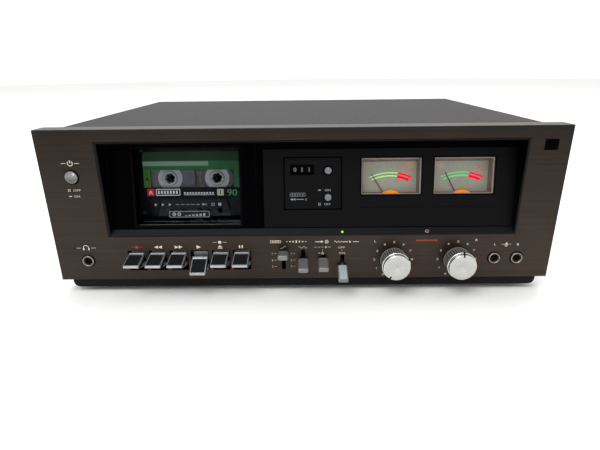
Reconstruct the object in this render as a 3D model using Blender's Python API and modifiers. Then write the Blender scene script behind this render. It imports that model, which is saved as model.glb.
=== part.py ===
"""Front-loading stereo cassette deck, as an assembly of separate pieces.

Frame: metres, +Z up, the front panel faces -Y, +X is the viewer's right.
The origin is at the centre of the bounding box's bottom face.

Most sizes below are in millimetres in the panel frame: X from the panel's
middle to the right, Y backwards from the panel's front face, Z upwards from
the panel's lower edge.  The fascia, the cassette door and the tape mechanism
lean backwards, so they are built in a second, leaning frame: x as before,
w square to the fascia (0 on its face, positive backwards) and v up its slope.
"""
import math

import bmesh
import bpy
from mathutils import Matrix, Vector

# ---------------------------------------------------------------- dimensions
MM = 0.001
GAP = 0.3                       # clearance between neighbouring pieces

FRONT_PROUD = 20.018             # lever tips in front of the panel's face
DEPTH = 293.5                   # panel face to rear panel
REAR_PROUD = 9.0                # phono sockets behind the rear panel
FOOT_H = 5.0
PLINTH_H = 8.4

PANEL_W, PANEL_H, PANEL_T, PANEL_D = 440.0, 135.1, 3.0, 18.4
COVER_W, COVER_TOP, COVER_T = 410.6, 134.9, 1.5
TRAY_W, TRAY_T, TRAY_R = 423.0, 2.0, 5.0

WIN_X0, WIN_X1, WIN_Z0, WIN_Z1 = -171.2, 186.2, 41.5, 125.0
BEZ_X0, BEZ_X1, BEZ_Z1, BEZ_D = -168.8, 184.4, 122.8, 20.5
SILL_Z, SILL_Y = 47.0, 4.7

LEAN = 10.0                     # degrees
LEAN_Y, LEAN_Z = 5.0, 47.0      # where the fascia's face meets the sill

KEY_X0, KEY_PITCH, KEY_W, KEY_SLOT = -148.3, 18.8, 13.2, 15.6
KEY_SLOT_Z = (9.5, 28.3)
KEY_PIVOT_Y, KEY_PIVOT_Z = 14.4, 22.0
KEY_TRAVEL = 15.0               # degrees
AXLE_R, AXLE_BORE = 1.5, 1.85

LEVER_X = (-17.1, 0.4, 18.0, 35.3)
LEVER_SLOT_W = 3.1
LEVER_SLOTS = ((9.2, 27.9), (9.2, 27.9), (9.2, 23.1), (9.2, 23.1))
LEVER_PIVOT_Y, LEVER_PIVOT_Z = 18.0, 18.55
LEVER_REST = (20.0, 2.0, 3.0, -15.5)        # degrees above level
LEVER_A, LEVER_L, LEVER_H, LEVER_W, LEVER_DROOP = 20.6, 17.4, 2.28, 8.8, 11.2

KNOB_X = (80.8, 137.1)
KNOB_Z = 18.1
JACKS = (("jack_phones", -192.5), ("jack_mic_left", 170.3), ("jack_mic_right", 190.1))
JACK_Z, JACK_BORE = 19.0, 3.25
POWER_X, POWER_Z, POWER_R = -194.3, 95.8, 6.2

METER_X = ((51.6, 103.2), (114.4, 166.2))
METER_V = (29.1, 60.4)
COUNTER_X, COUNTER_V = (-10.2, 10.6), (46.4, 55.6)
RESET_X, RESET_V, MEMORY_V, SMALL_R = 22.5, 50.3, 27.0, 3.2
PLATE_X, PLATE_V = (-15.5, 34.0), (16.6, 61.6)

DOOR_X0, DOOR_X1, DOOR_V0, DOOR_V1, DOOR_T = -168.2, -39.5, 0.6, 74.3, 3.0
CLEAR_X0, CLEAR_X1, CLEAR_V0, CLEAR_V1 = -146.5, -54.4, 3.2, 70.9
HINGE_Y, HINGE_Z = 12.0, 47.0
CAS_X, CAS_W, CAS_H, CAS_T = -98.2, 100.4, 63.8, 8.7
CAS_FACE_W, HUB_V, HUB_PITCH = 14.4, 43.66, 42.5
MECH_W, MECH_T = 26.5, 1.5
FLY_X, FLY_V = -71.0, 17.5
MOTOR_X, MOTOR_V = -128.0, 19.0

Y0 = (DEPTH + REAR_PROUD + FRONT_PROUD) / 2 - (DEPTH + REAR_PROUD)
Z0 = FOOT_H + PLINTH_H


# ------------------------------------------------------------------ clearing
for old in list(bpy.data.objects):
    bpy.data.objects.remove(old, do_unlink=True)
for block in list(bpy.data.meshes) + list(bpy.data.curves):
    (bpy.data.meshes if isinstance(block, bpy.types.Mesh) else bpy.data.curves).remove(block)

DECK = bpy.data.collections.new("cassette_deck")
CUTTERS = bpy.data.collections.new("cutters")
for group in (DECK, CUTTERS):
    bpy.context.scene.collection.children.link(group)

LEAN_EMPTY = bpy.data.objects.new("leaning_frame", None)
LEAN_EMPTY.location = (0, (LEAN_Y + Y0) * MM, (LEAN_Z + Z0) * MM)
LEAN_EMPTY.rotation_euler = (-math.radians(LEAN), 0, 0)
DECK.objects.link(LEAN_EMPTY)


# ----------------------------------------------------------------- materials
def material(name, rgb, rough, metal=0.0, alpha=1.0):
    m = bpy.data.materials.new(name)
    m.use_nodes = True
    p = m.node_tree.nodes["Principled BSDF"]
    p.inputs["Base Color"].default_value = (*rgb, 1)
    p.inputs["Roughness"].default_value = rough
    p.inputs["Metallic"].default_value = metal
    p.inputs["Alpha"].default_value = alpha
    return m


COLOURS = {
    "panel_bronze": ((0.047, 0.036, 0.028), 0.38, 0.7),
    "cover_grey": ((0.075, 0.075, 0.078), 0.62, 0.2),
    "tray_black": ((0.012, 0.012, 0.013), 0.5, 0.1),
    "black_plastic": ((0.009, 0.009, 0.010), 0.42, 0.0),
    "fascia_black": ((0.010, 0.010, 0.011), 0.34, 0.0),
    "chrome": ((0.62, 0.62, 0.62), 0.16, 1.0),
    "lever_grey": ((0.24, 0.25, 0.26), 0.35, 0.6),
    "knob_dark": ((0.03, 0.03, 0.032), 0.4, 0.6),
    "aluminium": ((0.70, 0.70, 0.70), 0.28, 1.0),
    "steel": ((0.42, 0.42, 0.43), 0.36, 1.0),
    "rubber": ((0.015, 0.015, 0.015), 0.85, 0.0),
    "clear": ((0.75, 0.78, 0.80), 0.05, 0.0, 0.25),
    "meter_face": ((0.31, 0.28, 0.24), 0.5, 0.0),
    "needle_black": ((0.01, 0.01, 0.01), 0.5, 0.0),
    "led_green": ((0.30, 0.85, 0.05), 0.25, 0.0),
    "led_red": ((0.20, 0.02, 0.015), 0.25, 0.0),
    "digit_black": ((0.012, 0.012, 0.012), 0.5, 0.0),
    "cassette_grey": ((0.05, 0.05, 0.055), 0.3, 0.0),
    "hub_white": ((0.80, 0.80, 0.78), 0.4, 0.0),
    "board_green": ((0.02, 0.10, 0.04), 0.5, 0.0),
    "winding_copper": ((0.35, 0.14, 0.06), 0.4, 0.6),
}


def paint(obj, key):
    obj.data.materials.clear()
    name = obj.name + "_" + key
    obj.data.materials.append(material(name, *COLOURS[key]))


# ------------------------------------------------------------ basic geometry
def as_object(name, mesh, at=(0, 0, 0), lean=False, group=None, rot=(0, 0, 0)):
    """Put a mesh (in mm, panel-parallel axes) at a point of a frame."""
    obj = bpy.data.objects.new(name, mesh)
    (group or DECK).objects.link(obj)
    if lean:
        obj.parent = LEAN_EMPTY
        obj.location = Vector(at) * MM
    else:
        obj.location = Vector((at[0], at[1] + Y0, at[2] + Z0)) * MM
    obj.rotation_euler = rot
    return obj


def mesh_of(bm, name):
    bmesh.ops.remove_doubles(bm, verts=bm.verts, dist=1e-7)
    bmesh.ops.recalc_face_normals(bm, faces=bm.faces)
    mesh = bpy.data.meshes.new(name)
    bm.to_mesh(mesh)
    bm.free()
    return mesh


def add_box(bm, lo, hi, rot=None, about=(0, 0, 0)):
    size = [(b - a) * MM for a, b in zip(lo, hi)]
    mid = Vector([(a + b) / 2 * MM for a, b in zip(lo, hi)])
    made = bmesh.ops.create_cube(bm, size=1.0, matrix=Matrix.Translation(mid) @ Matrix.Diagonal((*size, 1)))
    if rot:
        pivot = Vector(about) * MM
        bmesh.ops.rotate(bm, verts=made["verts"], cent=pivot, matrix=rot)
    return made["verts"]


TURN = {
    "x": Matrix.Rotation(math.pi / 2, 4, "Y"),
    "y": Matrix.Rotation(math.pi / 2, 4, "X"),      # local +Z becomes -Y, the front
    "z": Matrix.Identity(4),
}


def add_cyl(bm, centre, axis, radius, length, segs=24, radius2=None):
    r2 = radius if radius2 is None else radius2
    m = Matrix.Translation(Vector(centre) * MM) @ TURN[axis]
    return bmesh.ops.create_cone(bm, cap_ends=True, segments=segs, radius1=radius * MM, radius2=r2 * MM,
                                 depth=length * MM, matrix=m)["verts"]


def new_bm():
    return bmesh.new()


def box_mesh(lo, hi, bevel=0.0, segs=1, only=None):
    bm = new_bm()
    add_box(bm, lo, hi)
    if bevel:
        edges = [e for e in bm.edges if only is None or only(e)]
        bmesh.ops.bevel(bm, geom=edges, offset=bevel * MM, segments=segs, profile=0.5, affect="EDGES")
    return mesh_of(bm, "box")


def hull_mesh(points):
    """Closed convex solid around a set of corner points."""
    bm = new_bm()
    for p in points:
        bm.verts.new(Vector(p) * MM)
    bm.verts.ensure_lookup_table()
    bmesh.ops.convex_hull(bm, input=bm.verts)
    bmesh.ops.dissolve_limit(bm, angle_limit=0.01, verts=bm.verts, edges=bm.edges)
    return mesh_of(bm, "hull")


def outline_mesh(points, lo, hi, axis="x"):
    """A flat outline, filled and given thickness from lo to hi along an axis.

    For axis x the outline's points are (y, z); for axis y they are (x, z);
    for axis z they are (x, y).
    """
    cu = bpy.data.curves.new("outline", "CURVE")
    cu.dimensions = "2D"
    cu.fill_mode = "BOTH"
    cu.extrude = abs(hi - lo) / 2 * MM
    sp = cu.splines.new("POLY")
    sp.points.add(len(points) - 1)
    for slot, (a, b) in zip(sp.points, points):
        slot.co = (a * MM, b * MM, 0, 1)
    sp.use_cyclic_u = True
    tmp = bpy.data.objects.new("outline", cu)
    CUTTERS.objects.link(tmp)
    bpy.context.view_layer.update()
    mesh = bpy.data.meshes.new_from_object(tmp.evaluated_get(bpy.context.evaluated_depsgraph_get()))
    bpy.data.objects.remove(tmp, do_unlink=True)
    bpy.data.curves.remove(cu)
    bm = new_bm()
    bm.from_mesh(mesh)
    bpy.data.meshes.remove(mesh)
    mid = (lo + hi) / 2 * MM
    if axis == "x":
        m = Matrix(((0, 0, 1, mid), (1, 0, 0, 0), (0, 1, 0, 0), (0, 0, 0, 1)))
    elif axis == "y":
        m = Matrix(((1, 0, 0, 0), (0, 0, -1, mid), (0, 1, 0, 0), (0, 0, 0, 1)))
    else:
        m = Matrix.Translation((0, 0, mid))
    bm.transform(m)
    return mesh_of(bm, "prism")


def turned_mesh(profile, segs=32, closed=False):
    """Turn a profile of (radius, height) points about local Z with Screw."""
    bm = new_bm()
    vs = [bm.verts.new((r * MM, 0, h * MM)) for r, h in profile]
    for a, b in zip(vs, vs[1:]):
        bm.edges.new((a, b))
    if closed:
        bm.edges.new((vs[-1], vs[0]))
    flat = bpy.data.meshes.new("profile")
    bm.to_mesh(flat)
    bm.free()
    tmp = bpy.data.objects.new("profile", flat)
    CUTTERS.objects.link(tmp)
    sc = tmp.modifiers.new("turn", "SCREW")
    sc.steps = segs
    sc.render_steps = segs
    sc.use_merge_vertices = True
    sc.merge_threshold = 0.00001
    bpy.context.view_layer.update()
    mesh = bpy.data.meshes.new_from_object(tmp.evaluated_get(bpy.context.evaluated_depsgraph_get()))
    bpy.data.objects.remove(tmp, do_unlink=True)
    bpy.data.meshes.remove(flat)
    out = new_bm()
    out.from_mesh(mesh)
    bpy.data.meshes.remove(mesh)
    return mesh_of(out, "turned")


def boolean(obj, mesh, op="DIFFERENCE", tag="cut"):
    """Cut or join obj with a mesh given in obj's own axes and origin."""
    c = bpy.data.objects.new(obj.name + "_" + tag, mesh)
    CUTTERS.objects.link(c)
    c.parent = obj.parent
    c.location = obj.location
    c.rotation_euler = obj.rotation_euler
    c.hide_render = True
    c.display_type = "WIRE"
    m = obj.modifiers.new(tag, "BOOLEAN")
    m.operation = op
    m.solver = "EXACT"
    m.object = c
    return c


def smooth(obj, angle=35):
    me = obj.data
    me.shade_smooth()
    me.set_sharp_from_angle(angle=math.radians(angle))


def finished_mesh(obj):
    """The evaluated mesh of an object with its modifiers, for shared copies."""
    bpy.context.view_layer.update()
    return bpy.data.meshes.new_from_object(obj.evaluated_get(bpy.context.evaluated_depsgraph_get()))


def discard(obj):
    for m in list(obj.modifiers):
        if m.type == "BOOLEAN" and m.object:
            bpy.data.objects.remove(m.object, do_unlink=True)
    bpy.data.objects.remove(obj, do_unlink=True)


def cutters(*shapes):
    """One mesh holding separate, non-touching cutting shapes."""
    bm = new_bm()
    for s in shapes:
        if s[0] == "box":
            add_box(bm, s[1], s[2])
        else:
            add_cyl(bm, *s[1:])
    return mesh_of(bm, "cutter")


# ====================================================================== case
# Front panel: brushed, with solid ends beyond the cover's width, hollow between them and open at the back.
panel = as_object("front_panel", box_mesh((-PANEL_W / 2, 0, 0), (PANEL_W / 2, PANEL_D, PANEL_H), 0.7, 2,
                                          lambda e: all(v.co.y < 1e-6 for v in e.verts)))
boolean(panel, box_mesh((-204.4, PANEL_T, 2.5), (204.4, 30, 132.6)), tag="hollow")
holes = [("box", (WIN_X0, -2, WIN_Z0), (WIN_X1, 6, WIN_Z1))]
for i in range(6):
    x = KEY_X0 + i * KEY_PITCH
    holes.append(("box", (x - KEY_SLOT / 2, -2, KEY_SLOT_Z[0]), (x + KEY_SLOT / 2, 6, KEY_SLOT_Z[1])))
for x, (lo, hi) in zip(LEVER_X, LEVER_SLOTS):
    holes.append(("box", (x - LEVER_SLOT_W / 2, -2, lo), (x + LEVER_SLOT_W / 2, 6, hi)))
for x in KNOB_X:
    holes.append(("cyl", (x, 2, KNOB_Z), "y", 4.0, 8, 20))
for _, x in JACKS:
    holes.append(("cyl", (x, 2, JACK_Z), "y", 4.6, 8, 20))
holes.append(("cyl", (POWER_X, 2, POWER_Z), "y", 7.2, 8, 32))
boolean(panel, cutters(*holes), tag="openings")
paint(panel, "panel_bronze")

# Window surround: lip, side and top reveals, and the sloping sill with two lamp holes.
bezel = as_object("window_bezel", box_mesh((WIN_X0 + GAP, -0.4, WIN_Z0 + GAP), (WIN_X1 - GAP, BEZ_D, WIN_Z1 - GAP)))
boolean(bezel, outline_mesh(((-3, 41.2), (-0.41, 42.75), (SILL_Y - 0.5, SILL_Z), (SILL_Y, SILL_Z), (SILL_Y, 41.0),
                             (30, 41.0), (30, BEZ_Z1), (-3, BEZ_Z1)), BEZ_X0, BEZ_X1), tag="reveal")
SLOPE = math.atan2(SILL_Z - 42.75, SILL_Y - 0.5 + 0.4)
LED_Y, LED_Z = 1.3, 42.75 + 1.7 * math.tan(SLOPE)
LED_TILT = Matrix.Rotation(-(math.pi / 2 - SLOPE), 3, "X")
LED_ROT = (math.pi / 2 - (math.pi / 2 - SLOPE), 0, 0)


def led_axis_mesh(r, inward, outward, dome=False):
    """A cylinder (or dome-ended lamp) about local Z, whose Z points out of the sill."""
    if dome:
        prof = [(0.0, outward)]
        prof += [(r * math.sin(math.radians(a)), outward - r + r * math.cos(math.radians(a))) for a in (30, 60, 90)]
        prof += [(r, -inward), (0.0, -inward)]
        return turned_mesh(prof, 16)
    bm = new_bm()
    add_cyl(bm, (0, 0, (outward - inward) / 2), "z", r, inward + outward, 16)
    return mesh_of(bm, "lamp_hole")


LED_POS = ((34.9, "led_power", "led_green"), (109.1, "led_record", "led_red"))
LED_ANGLE = math.pi / 2 - (math.pi / 2 - SLOPE)      # sill normal, from +Z towards -Y
for x, _, _ in LED_POS:
    c = bpy.data.objects.new("lamp_hole", led_axis_mesh(1.5, 2.0, 4.0))
    CUTTERS.objects.link(c)
    c.location = Vector((x, LED_Y + Y0, LED_Z + Z0)) * MM
    c.rotation_euler = (LED_ANGLE, 0, 0)
    c.hide_render = True
    c.display_type = "WIRE"
    m = bezel.modifiers.new("lamp_hole", "BOOLEAN")
    m.operation, m.solver, m.object = "DIFFERENCE", "EXACT", c
boolean(bezel, cutters(("cyl", (BEZ_X0, HINGE_Y, HINGE_Z), "x", 1.5, 3.2, 16)), tag="hinge_hole")
paint(bezel, "black_plastic")
for x, name, colour in LED_POS:
    led = as_object(name, led_axis_mesh(1.25, 1.7, 1.0, True), (x, LED_Y, LED_Z), rot=(LED_ANGLE, 0, 0))
    smooth(led, 60)
    paint(led, colour)

# Top cover: one folded sheet, open below, in front and behind.
cover = as_object("top_cover", box_mesh((-COVER_W / 2, PANEL_D + GAP, -5.9), (COVER_W / 2, DEPTH - TRAY_T - GAP, COVER_TOP), 1.6, 3,
                                        lambda e: all(v.co.z > 0.1 for v in e.verts)
                                        and abs(e.verts[0].co.x - e.verts[1].co.x) < 1e-6))
boolean(cover, box_mesh((-COVER_W / 2 + COVER_T, -10, -20), (COVER_W / 2 - COVER_T, 400, COVER_TOP - COVER_T)),
        tag="inside")
paint(cover, "cover_grey")

# Base tray: the black plinth below the panel, folded with round lower corners, cooling slots in its floor.
def tray_fold(e):
    return all(v.co.z < -0.005 for v in e.verts) and abs(e.verts[0].co.x - e.verts[1].co.x) < 1e-6


tray = as_object("base_tray", box_mesh((-TRAY_W / 2, PANEL_T, -PLINTH_H), (TRAY_W / 2, DEPTH, -GAP), TRAY_R, 4, tray_fold))
boolean(tray, box_mesh((-TRAY_W / 2 + TRAY_T, PANEL_T + TRAY_T, -PLINTH_H + TRAY_T),
                       (TRAY_W / 2 - TRAY_T, DEPTH - TRAY_T, 20), TRAY_R - TRAY_T, 3, tray_fold), tag="inside")
slots = []
for i in range(7):
    for y in (110, 200):
        x = -150 + i * 50
        slots.append(("box", (x - 2.1, y, -12), (x + 2.1, y + 46, 0)))
boolean(tray, cutters(*slots), tag="cooling_slots")
paint(tray, "tray_black")

# Rear panel: sheet inside the cover's rear edge.
rear = as_object("rear_panel", box_mesh((-203.4, DEPTH - 4.3, -6.0), (203.4, DEPTH - 2.3, COVER_TOP - COVER_T - GAP)))
SOCKET_X0, SOCKET_X1, SOCKET_Z0, SOCKET_Z1 = 118.0, 172.0, 34.0, 66.0
GLAND_X, GLAND_Z = -176.0, 22.0
vents = [("box", (SOCKET_X0, 270, SOCKET_Z0), (SOCKET_X1, 300, SOCKET_Z1)),
         ("cyl", (GLAND_X, 290, GLAND_Z), "y", 5.8, 20, 24)]
for i in range(5):
    z = 70 + i * 10
    vents.append(("box", (-180, 280, z), (-110, 300, z + 4.2)))
boolean(rear, cutters(*vents), tag="openings")
paint(rear, "cover_grey")

# Phono sockets: four in one moulding, two in and two out.
socket = as_object("rear_sockets", box_mesh((SOCKET_X0 + GAP, 272, SOCKET_Z0 + GAP),
                                            (SOCKET_X1 - GAP, DEPTH - 1.0, SOCKET_Z1 - GAP)))
barrels, bores = [], []
for x in (130.0, 145.0):
    for z in (42.5, 57.5):
        barrels.append(("cyl", (x + 0, DEPTH + 3, z), "y", 4.2, 12, 16))
        bores.append(("cyl", (x, DEPTH + 2, z), "y", 1.6, 16, 10))
boolean(socket, cutters(*barrels), "UNION", "barrels")
boolean(socket, cutters(*bores), tag="bores")
paint(socket, "black_plastic")

# Mains lead gland: a grommet with a flange on each side of the sheet.
gland = as_object("cord_gland", turned_mesh(((3.3, 6.6), (5.6, 6.6), (6.6, 5.0), (6.6, 2.6), (5.4, 2.6), (5.4, -0.0),
                                             (6.8, -0.0), (6.8, -3.0), (3.3, -3.0)), 18, True),
                  (GLAND_X, DEPTH - 4.6, GLAND_Z), rot=(-math.pi / 2, 0, 0))
smooth(gland)
paint(gland, "rubber")

# Feet: turned rubber, hollow underneath round their screw.
foot_mesh = turned_mesh(((0, -2.4), (3.6, -2.4), (3.6, -FOOT_H), (9.2, -FOOT_H), (10.0, -FOOT_H + 0.7),
                         (11.0, -GAP), (0, -GAP)), 20)
for name, x, y in (("foot_front_left", -180, 42), ("foot_front_right", 180, 42),
                   ("foot_rear_left", -180, 262), ("foot_rear_right", 180, 262)):
    foot = as_object(name, foot_mesh.copy(), (x, y, -PLINTH_H))
    smooth(foot)
    paint(foot, "rubber")

# ============================================================ front controls
# Power button: a dished disc on a square plunger.
power = as_object("power_button", turned_mesh(((0, 1.7), (3.4, 1.9), (POWER_R - 0.7, 2.6), (POWER_R - 0.1, 2.6),
                                               (POWER_R, 2.3), (POWER_R, -7.0), (3.0, -7.0), (3.0, -24.0), (0, -24.0)),
                                              24), (POWER_X, 0, POWER_Z), rot=(math.pi / 2, 0, 0))
smooth(power)
paint(power, "aluminium")

# Piano keys, all from one mesh with its origin on the key axle.
Z_TOP = 26.0 - KEY_PIVOT_Z
cap_pts = []
for s in (-1, 1):
    cap_pts += [(s * 6.6, -13.9, Z_TOP + 0.13), (s * 6.6, -31.2, -0.45), (s * 6.6, -31.5, -0.9), (s * 6.6, -31.6, -3.0),
                (s * 6.9, -30.6, -3.4), (s * 7.3, -13.9, -8.4)]
key = as_object("key_blank", hull_mesh(cap_pts))
key.location = (0, 0, 0)
boolean(key, box_mesh((-5.0, -15.0, -6.4), (5.0, -2.0, -1.6)), "UNION", "arm")
boolean(key, box_mesh((-6.5, -9.7, -3.0), (6.5, -7.7, 6.5)), "UNION", "shoulder")
boolean(key, cutters(("cyl", (0, 0, 0), "x", 3.7, 10.0, 16)), "UNION", "barrel")
boolean(key, cutters(("cyl", (0, 0, 0), "x", AXLE_BORE, 16.0, 16)), tag="bore")
pad_slope = math.atan2(Z_TOP + 0.13 + 0.45, 31.2 - 13.9)
bm = new_bm()
add_box(bm, (-5.2, -6.6, -0.5), (5.2, 6.1, 3.0), Matrix.Rotation(pad_slope, 3, "X"))
bmesh.ops.translate(bm, verts=bm.verts, vec=Vector((0, -23.3, 4.13 - (23.3 - 13.9) * math.tan(pad_slope))) * MM)
boolean(key, mesh_of(bm, "pad"), tag="pad_recess")
key_mesh = finished_mesh(key)
discard(key)
KEYS = ("key_record", "key_rewind", "key_fast_forward", "key_play", "key_stop_eject", "key_pause")
for i, name in enumerate(KEYS):
    tip_down = KEY_TRAVEL if name == "key_play" else 0.0
    k = as_object(name, key_mesh.copy(), (KEY_X0 + i * KEY_PITCH, KEY_PIVOT_Y, KEY_PIVOT_Z),
                  rot=(math.radians(tip_down), 0, 0))
    paint(k, "chrome")

# Toggle levers, all from one mesh with its origin on the lever axle.
bm = new_bm()
add_box(bm, (-LEVER_W / 2, -LEVER_L, -LEVER_H), (LEVER_W / 2, 0, LEVER_H))
bmesh.ops.bevel(bm, geom=list(bm.edges), offset=0.7 * MM, segments=2, profile=0.5, affect="EDGES")
bmesh.ops.rotate(bm, verts=bm.verts, cent=(0, 0, 0), matrix=Matrix.Rotation(math.radians(LEVER_DROOP), 3, "X"))
bmesh.ops.translate(bm, verts=bm.verts, vec=Vector((0, -LEVER_A, 0)) * MM)
lever = as_object("lever_blank", mesh_of(bm, "lever"))
lever.location = (0, 0, 0)
boolean(lever, box_mesh((-1.15, -LEVER_A - 3.0, -1.2), (1.15, -1.9, 1.2)), "UNION", "stem")
boolean(lever, cutters(("cyl", (0, 0, 0), "x", 3.6, 5.6, 16)), "UNION", "barrel")
boolean(lever, cutters(("cyl", (0, 0, 0), "x", AXLE_BORE, 9.0, 16)), tag="bore")
lever_mesh = finished_mesh(lever)
discard(lever)
LEVERS = ("lever_equaliser", "lever_bias", "lever_input", "lever_noise_filter")
for name, x, rest in zip(LEVERS, LEVER_X, LEVER_REST):
    k = as_object(name, lever_mesh.copy(), (x, LEVER_PIVOT_Y, LEVER_PIVOT_Z), rot=(-math.radians(rest), 0, 0))
    paint(k, "lever_grey")

# Lever axle: a rod between two end plates that stand on the panel's back.
axle = as_object("lever_axle", cutters(("cyl", (9.2, LEVER_PIVOT_Y, LEVER_PIVOT_Z), "x", AXLE_R, 68.0, 16)))
boolean(axle, cutters(("box", (-26.5, PANEL_T + GAP, 11.0), (-24.0, LEVER_PIVOT_Y + 4, 26.0)),
                      ("box", (42.4, PANEL_T + GAP, 11.0), (44.9, LEVER_PIVOT_Y + 4, 26.0))), "UNION", "end_plates")
paint(axle, "steel")

# Record level knobs: a ring knob on a tube and a disc knob on the shaft inside it.
ring_profile = ((AXLE_BORE, 15.0), (11.9, 15.0), (12.5, 14.5), (12.5, 13.9), (11.8, 13.3), (11.8, 1.4), (11.2, 1.0),
                (3.0, 1.0), (3.0, -12.0), (AXLE_BORE, -12.0))
disc_profile = ((0, 18.5), (11.1, 18.5), (11.6, 18.0), (11.6, 15.3), (AXLE_R, 15.3), (AXLE_R, -18.0), (0, -18.0))
ring_mesh = turned_mesh(ring_profile, 24, True)
disc_mesh = turned_mesh(disc_profile, 24)
SETTING = {"knob_left_ring": 60.0, "knob_left_disc": -150.0, "knob_right_ring": 4.0, "knob_right_disc": 0.0}
for side, x in (("left", KNOB_X[0]), ("right", KNOB_X[1])):
    for kind, mesh, colour in (("ring", ring_mesh, "knob_dark"), ("disc", disc_mesh, "aluminium")):
        name = "knob_%s_%s" % (side, kind)
        k = as_object(name, mesh.copy(), (x, 0, KNOB_Z))
        # turn to the setting about the shaft, then lay the shaft along the panel's depth
        k.rotation_euler = (Matrix.Rotation(math.pi / 2, 3, "X")
                            @ Matrix.Rotation(-math.radians(SETTING[name]), 3, "Z")).to_euler()
        if kind == "ring":
            boolean(k, box_mesh((-0.6, 10.6, 13.6), (0.6, 14, 16)), tag="index")
        else:
            boolean(k, box_mesh((-0.6, 9.4, 17.6), (0.6, 14, 20)), tag="index")
        smooth(k)
        paint(k, colour)

# Level board: two double potentiometers on one small circuit board.
board = as_object("level_control_board", box_mesh((62, 24.0, 5.0), (155, 25.6, 34.0)))
boolean(board, cutters(*[("cyl", (x, 14.0, KNOB_Z), "y", 8.2, 20.8, 24) for x in KNOB_X]), "UNION", "pots")
boolean(board, cutters(*[("cyl", (x, 7.8, KNOB_Z), "y", 3.35, 9.2, 20) for x in KNOB_X]), tag="tube_bores")
boolean(board, cutters(*[("cyl", (x, 15.4, KNOB_Z), "y", AXLE_BORE, 6.4, 16) for x in KNOB_X]), tag="shaft_bores")
paint(board, "board_green")

# Quarter-inch jacks: nut ring in front, barrel through the panel, body behind.
jack_mesh = turned_mesh(((0, -20.0), (JACK_BORE, -20.0), (JACK_BORE, 1.3), (3.7, 1.8), (4.9, 1.8), (5.3, 1.3),
                         (5.3, GAP), (4.2, GAP), (4.2, -PANEL_T - GAP), (7.0, -PANEL_T - GAP), (7.0, -24.0),
                         (0, -24.0)), 20)
for name, x in JACKS:
    j = as_object(name, jack_mesh.copy(), (x, 0, JACK_Z), rot=(math.pi / 2, 0, 0))
    smooth(j)
    paint(j, "steel")

# ================================================================== fascia
FAS_X0, FAS_X1, FAS_V1, FAS_T = -39.2, 184.1, 75.3, 3.0
fascia = as_object("instrument_fascia", box_mesh((FAS_X0, 0, 0.5), (FAS_X1, FAS_T, FAS_V1)), lean=True)
# recessed dark strip beside the door, and the lug that holds the door's right-hand hinge pin
HINGE_W = (HINGE_Y - LEAN_Y) * math.cos(math.radians(LEAN)) - (HINGE_Z - LEAN_Z) * math.sin(math.radians(LEAN))
HINGE_V = (HINGE_Y - LEAN_Y) * math.sin(math.radians(LEAN)) + (HINGE_Z - LEAN_Z) * math.cos(math.radians(LEAN))
boolean(fascia, box_mesh((FAS_X0, FAS_T - 1.0, HINGE_V - 3.2), (-35.6, HINGE_W + 3.4, 12.0)), "UNION", "hinge_lug")
boolean(fascia, box_mesh((FAS_X0 - 1, -1, -1), (-33.6, 1.4, 80)), tag="side_step")
fas_cut = [("cyl", (FAS_X0, HINGE_W, HINGE_V), "x", 1.5, 5.0, 16),
           ("box", (COUNTER_X[0], -2, COUNTER_V[0]), (COUNTER_X[1], 6, COUNTER_V[1])),
           ("cyl", (RESET_X, 2, RESET_V), "y", SMALL_R + 0.5, 8, 20),
           ("cyl", (RESET_X, 2, MEMORY_V), "y", SMALL_R + 0.5, 8, 20)]
for x0, x1 in METER_X:
    fas_cut.append(("box", (x0, -2, METER_V[0]), (x1, 6, METER_V[1])))
boolean(fascia, cutters(*fas_cut), tag="openings")
paint(fascia, "fascia_black")

# Clear sheet behind both meter openings.
lens = as_object("meter_window", box_mesh((METER_X[0][0] - 3, FAS_T + GAP, METER_V[0] - 3),
                                          (METER_X[1][1] + 3, FAS_T + GAP + 1.5, METER_V[1] + 3)), lean=True)
paint(lens, "clear")

# Meters: a tray-shaped case with the dial on its floor, and a needle on a pivot.
CASE_W0 = FAS_T + GAP + 1.5 + GAP
FACE_W = CASE_W0 + 4.2
METERS = (("meter_left", METER_X[0], 33.0), ("meter_right", METER_X[1], 29.0))
PIVOT_V = METER_V[0] - 8.0
for name, (x0, x1), lean_left in METERS:
    cx = (x0 + x1) / 2
    case = as_object(name + "_case", box_mesh((x0 - 2.2, CASE_W0, METER_V[0] - 15.0), (x1 + 2.2, FACE_W + 12.0,
                                                                                       METER_V[1] + 2.2)), lean=True)
    boolean(case, box_mesh((x0 - 0.6, CASE_W0 - 2, METER_V[0] - 13.5), (x1 + 0.6, FACE_W, METER_V[1] + 0.6)),
            tag="dial_well")
    boolean(case, cutters(("cyl", (cx, FACE_W + 3, PIVOT_V), "y", 1.1, 8.0, 12)), tag="pivot_hole")
    paint(case, "meter_face")
    # needle: a flat pointer on a hub, drawn upright and then leant to its rest position
    needle = as_object(name + "_needle", turned_mesh(((0, 0.7), (2.3, 0.7), (2.3, -0.7), (0.8, -0.7), (0.8, -4.6),
                                                      (0, -4.6)), 20),
                       (cx, FACE_W - 2.0, PIVOT_V), lean=True)
    needle.rotation_euler = (Matrix.Rotation(-math.radians(lean_left), 3, "Y")
                             @ Matrix.Rotation(math.pi / 2, 3, "X")).to_euler()
    boolean(needle, box_mesh((-0.3, -4.2, -0.35), (0.3, 30.0, 0.35)), "UNION", "pointer")
    paint(needle, "needle_black")

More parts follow.
